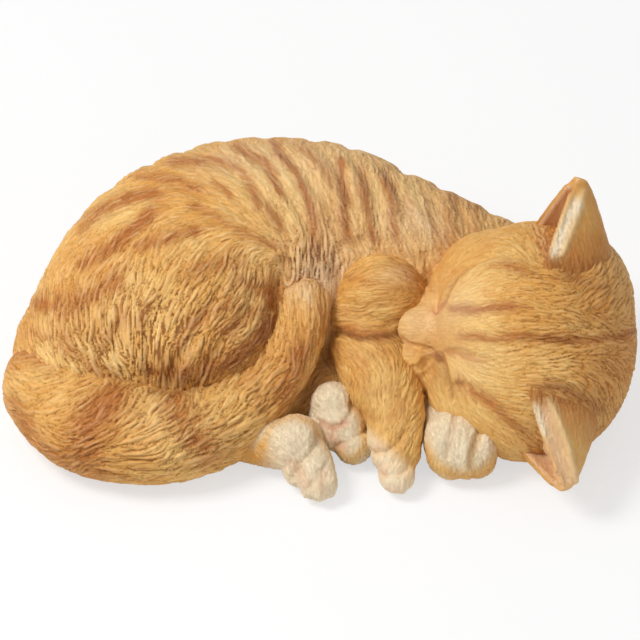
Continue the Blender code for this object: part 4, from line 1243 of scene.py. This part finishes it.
foreleg = {
    "grain": 0.62, "softness": 12.8, "seed": 101, "half": 14.0, "behind": (0.1, 0.1, -1.0),
    "upperArm": [((31, -5, 49), (24.5, 21, 28)), ((17.5, -12, 45), (14.5, 14, 17))],
    "route": [(25, -25, 36, 20), (30, -42, 31, 20.5), (39.5, -59, 24, 15.5), (38.5, -76, 15.5, 13)],
    "paw": [((32.5, -71, 18), (9.24, 9.8, 8.68)), ((38.5, -88.5, 10), (9.4, 11.5, 8.2)),
            ((34, -80, 15), (8.5, 9, 8.5))],
    "toeMiddle": (39.5, -87.0, 9.5), "toeSize": (0.62, 0.54),
    "toes": ((-0.44, 0.0, 0.24), (-0.18, 3.5, 0.24), (0.14, 4.5, 0.24), (0.38, 0.0, 0.24)),
    "fur": {"long": 15.0, "wide": 3.8, "high": 0.75, "spacing": 3.5, "wave": 0.22, "sway": 0.18,
            "reach": 13.0, "strand": 1.15, "strandLong": 27.0, "cut": 0.75, "hollow": 0.18, "wash": 0.42},
    "guides": [(345, 262, 35), (360, 255, 30), (350, 278, 30), (380, 258, 8), (402, 262, -22),
               (412, 282, -55), (378, 288, 6), (382, 306, 22), (352, 300, -10), (346, 316, -8),
               (370, 325, 20), (398, 302, 20), (350, 350, -50), (345, 380, -75), (380, 350, -60),
               (365, 400, -80), (400, 385, -112), (395, 420, -115), (375, 440, -95), (390, 470, -100),
               (400, 440, -118)],
    "bands": [
        (((342, 312), (360, 306), (384, 302), (408, 306)), 4.0, 0.45),
        (((346, 278), (376, 284), (396, 290)), 3.6, 0.5),
        (((344, 328), (362, 334), (384, 333)), 5.0, 0.8),
        (((392, 262), (408, 272), (418, 292)), 4.5, 0.6),
        (((346, 352), (362, 360), (388, 352)), 3.5, 0.5),
        (((350, 384), (372, 392), (398, 384)), 3.8, 0.5),
        (((358, 412), (380, 420), (404, 410)), 3.6, 0.5),
        (((398, 390), (404, 416), (406, 440)), 4.0, 0.5),
    ],
    # between the toes, then the fold of the elbow
    "cuts": [(((372, 453), (386, 452), (397, 445), (405, 432)), 3.6, 2.0),
             (((381, 475), (397, 475), (408, 469), (411, 460)), 3.4, 1.7),
             (((334, 334), (350, 333), (366, 330), (384, 326), (400, 321)), 4.0, 1.6)],
    "swells": [((382, 440), (12, 9), 1.0, 20), ((396, 462), (13, 9), 0.8, 10)],
    "pawEdge": (369.0, 428.0), "pawSlope": 0.88, "pawFrom": (415.0, 430.0),
    "pale": [((395, 275), (16, 10), 0.25)],
    "pink": [(((374, 450), (382, 446)), 5.0, 0.35)],
    "pinkDabs": [((382, 472), (5, 7), 0.6), ((394, 490), (14, 6), 0.3)],
    "shadows": [(((340, 331), (362, 338), (388, 336), (402, 330)), 4.0, 0.8)],
    "shadowAtTail": [(((338, 345), (336, 370), (344, 395)), 4.0, 0.5)],
}


def toeRow(clay, paw):
    # Each toe has its place across and its width as shares of the paw's half width, and how far
    # it reaches ahead
    (x, y, z), (deep, high), half = paw["toeMiddle"], paw["toeSize"], paw["half"]
    for shift, ahead, wide in paw["toes"]:
        ball(clay, (x + shift * half, y - ahead, z), (wide * half, deep * half, high * half))


def makeForeleg():
    clay = []
    heap(clay, foreleg["upperArm"])
    limb(clay, foreleg["route"])
    heap(clay, foreleg["paw"])
    toeRow(clay, foreleg)
    piece = newPiece(clay, foreleg)
    spots = toPhoto(piece["points"])
    front = seen(piece["normals"])
    pushOut(piece, (dabs(spots, foreleg["swells"]) - strokes(spots, foreleg["cuts"])) * front)
    edgeX, edgeY = foreleg["pawEdge"]
    past = spots[:, 1] - edgeY - foreleg["pawSlope"] * (spots[:, 0] - edgeX)
    paw = ease(past, -8.0, 12.0) * ease(spots[:, 1], *foreleg["pawFrom"])
    layFur(piece, foreleg, offGround(piece, 5.0) * (1.0 - 0.62 * paw))
    stripe = bandMask(piece, foreleg["bands"], 111) * (1.0 - 0.8 * paw)
    cream = paw * 0.95 + dabs(spots, foreleg["pale"]) * front
    pink = strokes(spots, foreleg["pink"]) + dabs(spots, foreleg["pinkDabs"])
    shade = strokes(spots, foreleg["shadows"]) * front + strokes(spots, foreleg["shadowAtTail"])
    marks = paintMarks(piece, perLock(piece, stripe, 0.6), perLock(piece, cream, 0.75), pink * front, shade)
    finishPiece("forelegFur", piece, marks, "foreleg", "ginger_resin")


makeForeleg()

# What the three cream paws share, then each of them; half is about half a paw's width
anyPaw = {
    "grain": 0.62, "softness": 10.24, "behind": (0.0, -0.3, -1.0), "cream": 0.95,
    "fur": {"long": 7.0, "wide": 2.2, "high": 0.35, "spacing": 2.2, "wave": 0.15, "sway": 0.25, "reach": 14.0,
            "strand": 1.0, "strandLong": 10.0, "cut": 0.5, "hollow": 0.18, "wash": 0.30},
}
chinPaw = {
    **anyPaw, "half": 20.0, "seed": 121,
    "masses": [((70, -72, 17.5), (18, 19, 17)), ((68, -56, 16), (17, 23, 15)), ((79.5, -80, 15), (9, 11, 13)),
               ((66, -81, 15), (10, 11, 13))],
    "toeMiddle": (70.0, -80.5, 17.0), "toeSize": (0.62, 0.74),
    "toes": ((-0.44, -3.5, 0.40), (0.18, 0.0, 0.35), (0.70, -3.5, 0.29)),
    "guides": [(440, 440, -70), (460, 430, -85), (485, 440, -100), (460, 460, -80)],
    "cuts": [(((456, 408), (453, 424), (449, 442), (447, 458)), 3.2, 1.5),
             (((482, 424), (477, 438), (472, 452), (470, 466)), 3.2, 1.6)],
    "pink": [(((474, 416), (488, 426), (496, 440)), 5.0, 0.6), (((456, 416), (450, 446)), 3.0, 0.25)],
    "ginger": [(((424, 450), (434, 466), (458, 478), (482, 474), (500, 458)), 8.0, 0.9),
               (((478, 436), (473, 452), (470, 464)), 3.5, 0.5),
               (((484, 418), (494, 428), (498, 436)), 4.0, 0.7)],
}
hindFoot = {
    **anyPaw, "half": 15.0, "seed": 131,
    "limbs": [[(-42, -65, 15, 13), (-28, -70, 14.5, 13), (-15, -75, 17, 13)],
              [(-10, -76, 17, 11.5), (-1.5, -86, 13.5, 11), (0, -93, 10.5, 8)]],
    "masses": [((-12, -74, 19.5), 13.5), ((-0.8, -95, 10), (8.2, 10, 8)),
               ((-10, -86.5, 10.5), (9, 9.5, 7.6))],
    "toeMiddle": (0.0, -95.0, 10.0), "toeSize": (0.56, 0.50),
    "toes": ((-0.40, 0.0, 0.30), (-0.04, 2.5, 0.30), (0.30, -0.5, 0.30)),
    "guides": [(280, 440, -40), (300, 440, -60), (315, 480, -80), (290, 465, -50)],
    "cuts": [(((291, 478), (299, 464), (309, 455), (318, 442), (319, 430)), 3.8, 2.3),
             (((305, 489), (317, 476), (327, 464)), 3.4, 1.1)],
    "pink": [(((290, 462), (300, 474), (306, 486)), 6.0, 0.35), (((324, 474), (320, 490)), 5.0, 0.35)],
    "ginger": [(((226, 452), (254, 458)), 17.0, 1.0),
               (((262, 446), (272, 424), (294, 415), (314, 424), (328, 444), (338, 462)), 4.5, 0.6)],
}
farHindPaw = {
    **anyPaw, "seed": 141,
    "masses": [((8, -55, 16), (14, 19, 13)), ((6.5, -51, 22.5), 11.55), ((13, -61, 16.5), 10.89),
               ((17, -69.5, 11.5), 9.9)],
    "guides": [(330, 400, -60), (340, 430, -60), (355, 450, -60)],
    "cuts": [(((316, 420), (330, 427), (343, 424), (351, 412), (353, 400)), 2.8, 1.6),
             (((336, 446), (346, 442), (357, 435), (368, 430)), 2.6, 1.3)],
    "pink": [(((320, 424), (334, 428), (346, 422)), 4.5, 0.7), (((330, 436), (342, 448)), 6.0, 0.6)],
    "ginger": [(((352, 398), (364, 420), (366, 446), (352, 462), (336, 452)), 6.0, 0.75)],
}


def makePaw(name, node, paw):
    clay = []
    for route in paw.get("limbs", ()):
        limb(clay, route)
    heap(clay, paw["masses"])
    if "toes" in paw:
        toeRow(clay, paw)
    piece = newPiece(clay, paw)
    spots = toPhoto(piece["points"])
    front = seen(piece["normals"])
    cuts = strokes(spots, paw["cuts"])
    pushOut(piece, -cuts * front)
    layFur(piece, paw, offGround(piece, 4.0))
    cream = np.clip(paw["cream"] - strokes(spots, paw["ginger"]), 0.0, 1.0)
    pink = np.clip(strokes(spots, paw["pink"]), 0.0, 0.8)
    marks = paintMarks(piece, np.zeros(len(spots)), cream, pink, 0.14 * np.clip(cuts, 0.0, 1.2) * front)
    finishPiece(name, piece, marks, node, "cream_resin")


makePaw("chinPawFur", "chin_paw", chinPaw)
makePaw("hindFootFur", "hind_leg_near", hindFoot)
makePaw("farHindPawFur", "hind_paw_far", farHindPaw)

# The pieces under the statue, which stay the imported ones
plainCoats = {"bareCastResin": {"colour": "#BFB29A", "roughness": 0.75, "grain": 900.0, "bump": 0.0002},
              "blackRubber": {"colour": "#1B1B1C", "roughness": 0.8, "grain": 1500.0, "bump": 0.0001}}


def plainMaterial(name):
    look = plainCoats[name]
    material, tree, shader = newMaterial(name)
    here = tree.nodes.new("ShaderNodeTexCoord").outputs["Object"]
    cloud = noiseNode(tree, here, look["grain"] * 0.1, 3.0)
    grain = noiseNode(tree, here, look["grain"], 3.0)
    tone = paint(look["colour"])
    darker = tuple(c * 0.72 for c in tone[:3]) + (1.0,)
    tree.links.new(mixColour(tree, remap(tree, cloud, 0.3, 0.7), tone, darker), shader.inputs["Base Color"])
    rough = remap(tree, grain, 0.3, 0.7, look["roughness"] - 0.08, look["roughness"] + 0.08)
    tree.links.new(rough, shader.inputs["Roughness"])
    addBump(tree, shader, grain, look["bump"])
    return material


bareResin = plainMaterial("bareCastResin")
blackRubber = plainMaterial("blackRubber")
for name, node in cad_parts.items():
    if name in ("base_plate", "drain_plug") or name.startswith("foot_pad"):
        node.data.materials.clear()
        node.data.materials.append(bareResin if name == "base_plate" else blackRubber)
print("underside finished")

studio = {
    "keySize": 0.55, "keyPower": 15.0, "keyPlace": (-0.8, -0.25, 1.25),
    "fillSize": 1.2, "fillPower": 2.2, "fillPlace": (1.1, -0.9, 0.7),
    "lampsAt": (0.0, 0.0, 0.04), "worldStrength": 0.50,
    "floorSize": 3.0, "floorTone": 0.92, "floorGlow": 0.62, "cameraAway": 1.6,
}


def makeFloor():
    bm = bmesh.new()
    bmesh.ops.create_grid(bm, x_segments=8, y_segments=8, size=studio["floorSize"])
    mesh = bpy.data.meshes.new("studioFloor")
    bm.to_mesh(mesh)
    bm.free()
    floor = newObject("studioFloor", mesh)
    material, tree, shader = newMaterial("paleFloor")
    shader.inputs["Base Color"].default_value = (*[studio["floorTone"]] * 3, 1.0)
    shader.inputs["Roughness"].default_value = 0.9
    shader.inputs["Specular IOR Level"].default_value = 0.1
    glow = tree.nodes.new("ShaderNodeEmission")
    path = tree.nodes.new("ShaderNodeLightPath")
    blend = tree.nodes.new("ShaderNodeMixShader")
    tree.links.new(times(tree, path.outputs["Is Camera Ray"], studio["floorGlow"]), blend.inputs[0])
    tree.links.new(shader.outputs[0], blend.inputs[1])
    tree.links.new(glow.outputs[0], blend.inputs[2])
    tree.links.new(blend.outputs[0], tree.nodes["Material Output"].inputs["Surface"])
    mesh.materials.append(material)


def makeWorld():
    # White to the camera and in reflections, dimmer as light
    world = bpy.data.worlds.new("studio")
    bpy.context.scene.world = world
    world.use_nodes = True
    tree = world.node_tree
    back = tree.nodes["Background"]
    back.inputs["Color"].default_value = (1.0, 1.0, 1.0, 1.0)
    path = tree.nodes.new("ShaderNodeLightPath")
    bright = mathNode(tree, "MAXIMUM", path.outputs["Is Camera Ray"], path.outputs["Is Glossy Ray"])
    bright = mathNode(tree, "MAXIMUM", bright, path.outputs["Is Transmission Ray"])
    dim = studio["worldStrength"]
    tree.links.new(plus(tree, times(tree, bright, 1.0 - dim), dim), back.inputs["Strength"])


def lookAt(obj, where, target):
    obj.location = where
    obj.rotation_euler = (Vector(target) - Vector(where)).to_track_quat("-Z", "Y").to_euler()


def addLamp(name, size, power, where):
    lamp = bpy.data.lights.new(name, "AREA")
    lamp.shape = "SQUARE"
    lamp.size = size
    lamp.energy = power
    lookAt(newObject(name, lamp), where, studio["lampsAt"])


def makeCamera():
    camera = bpy.data.cameras.new("photoView")
    camera.type = "ORTHO"
    camera.ortho_scale = photo["size"] / photo["perMm"] * mm
    camera.clip_end = 20.0
    obj = newObject("photoView", camera)
    lift = (photo["ground"] - 0.5 * photo["size"]) / photo["perMmUp"] / 2.0 * mm
    middle = Vector((0.0, lift, lift)) + Vector(place)
    lookAt(obj, middle + Vector(lookFrom) * studio["cameraAway"], middle)
    bpy.context.scene.camera = obj


makeFloor()
makeWorld()
addLamp("keyLight", studio["keySize"], studio["keyPower"], studio["keyPlace"])
addLamp("fillLight", studio["fillSize"], studio["fillPower"], studio["fillPlace"])
makeCamera()
bpy.context.scene.view_settings.view_transform = "Standard"

print("scene ready")
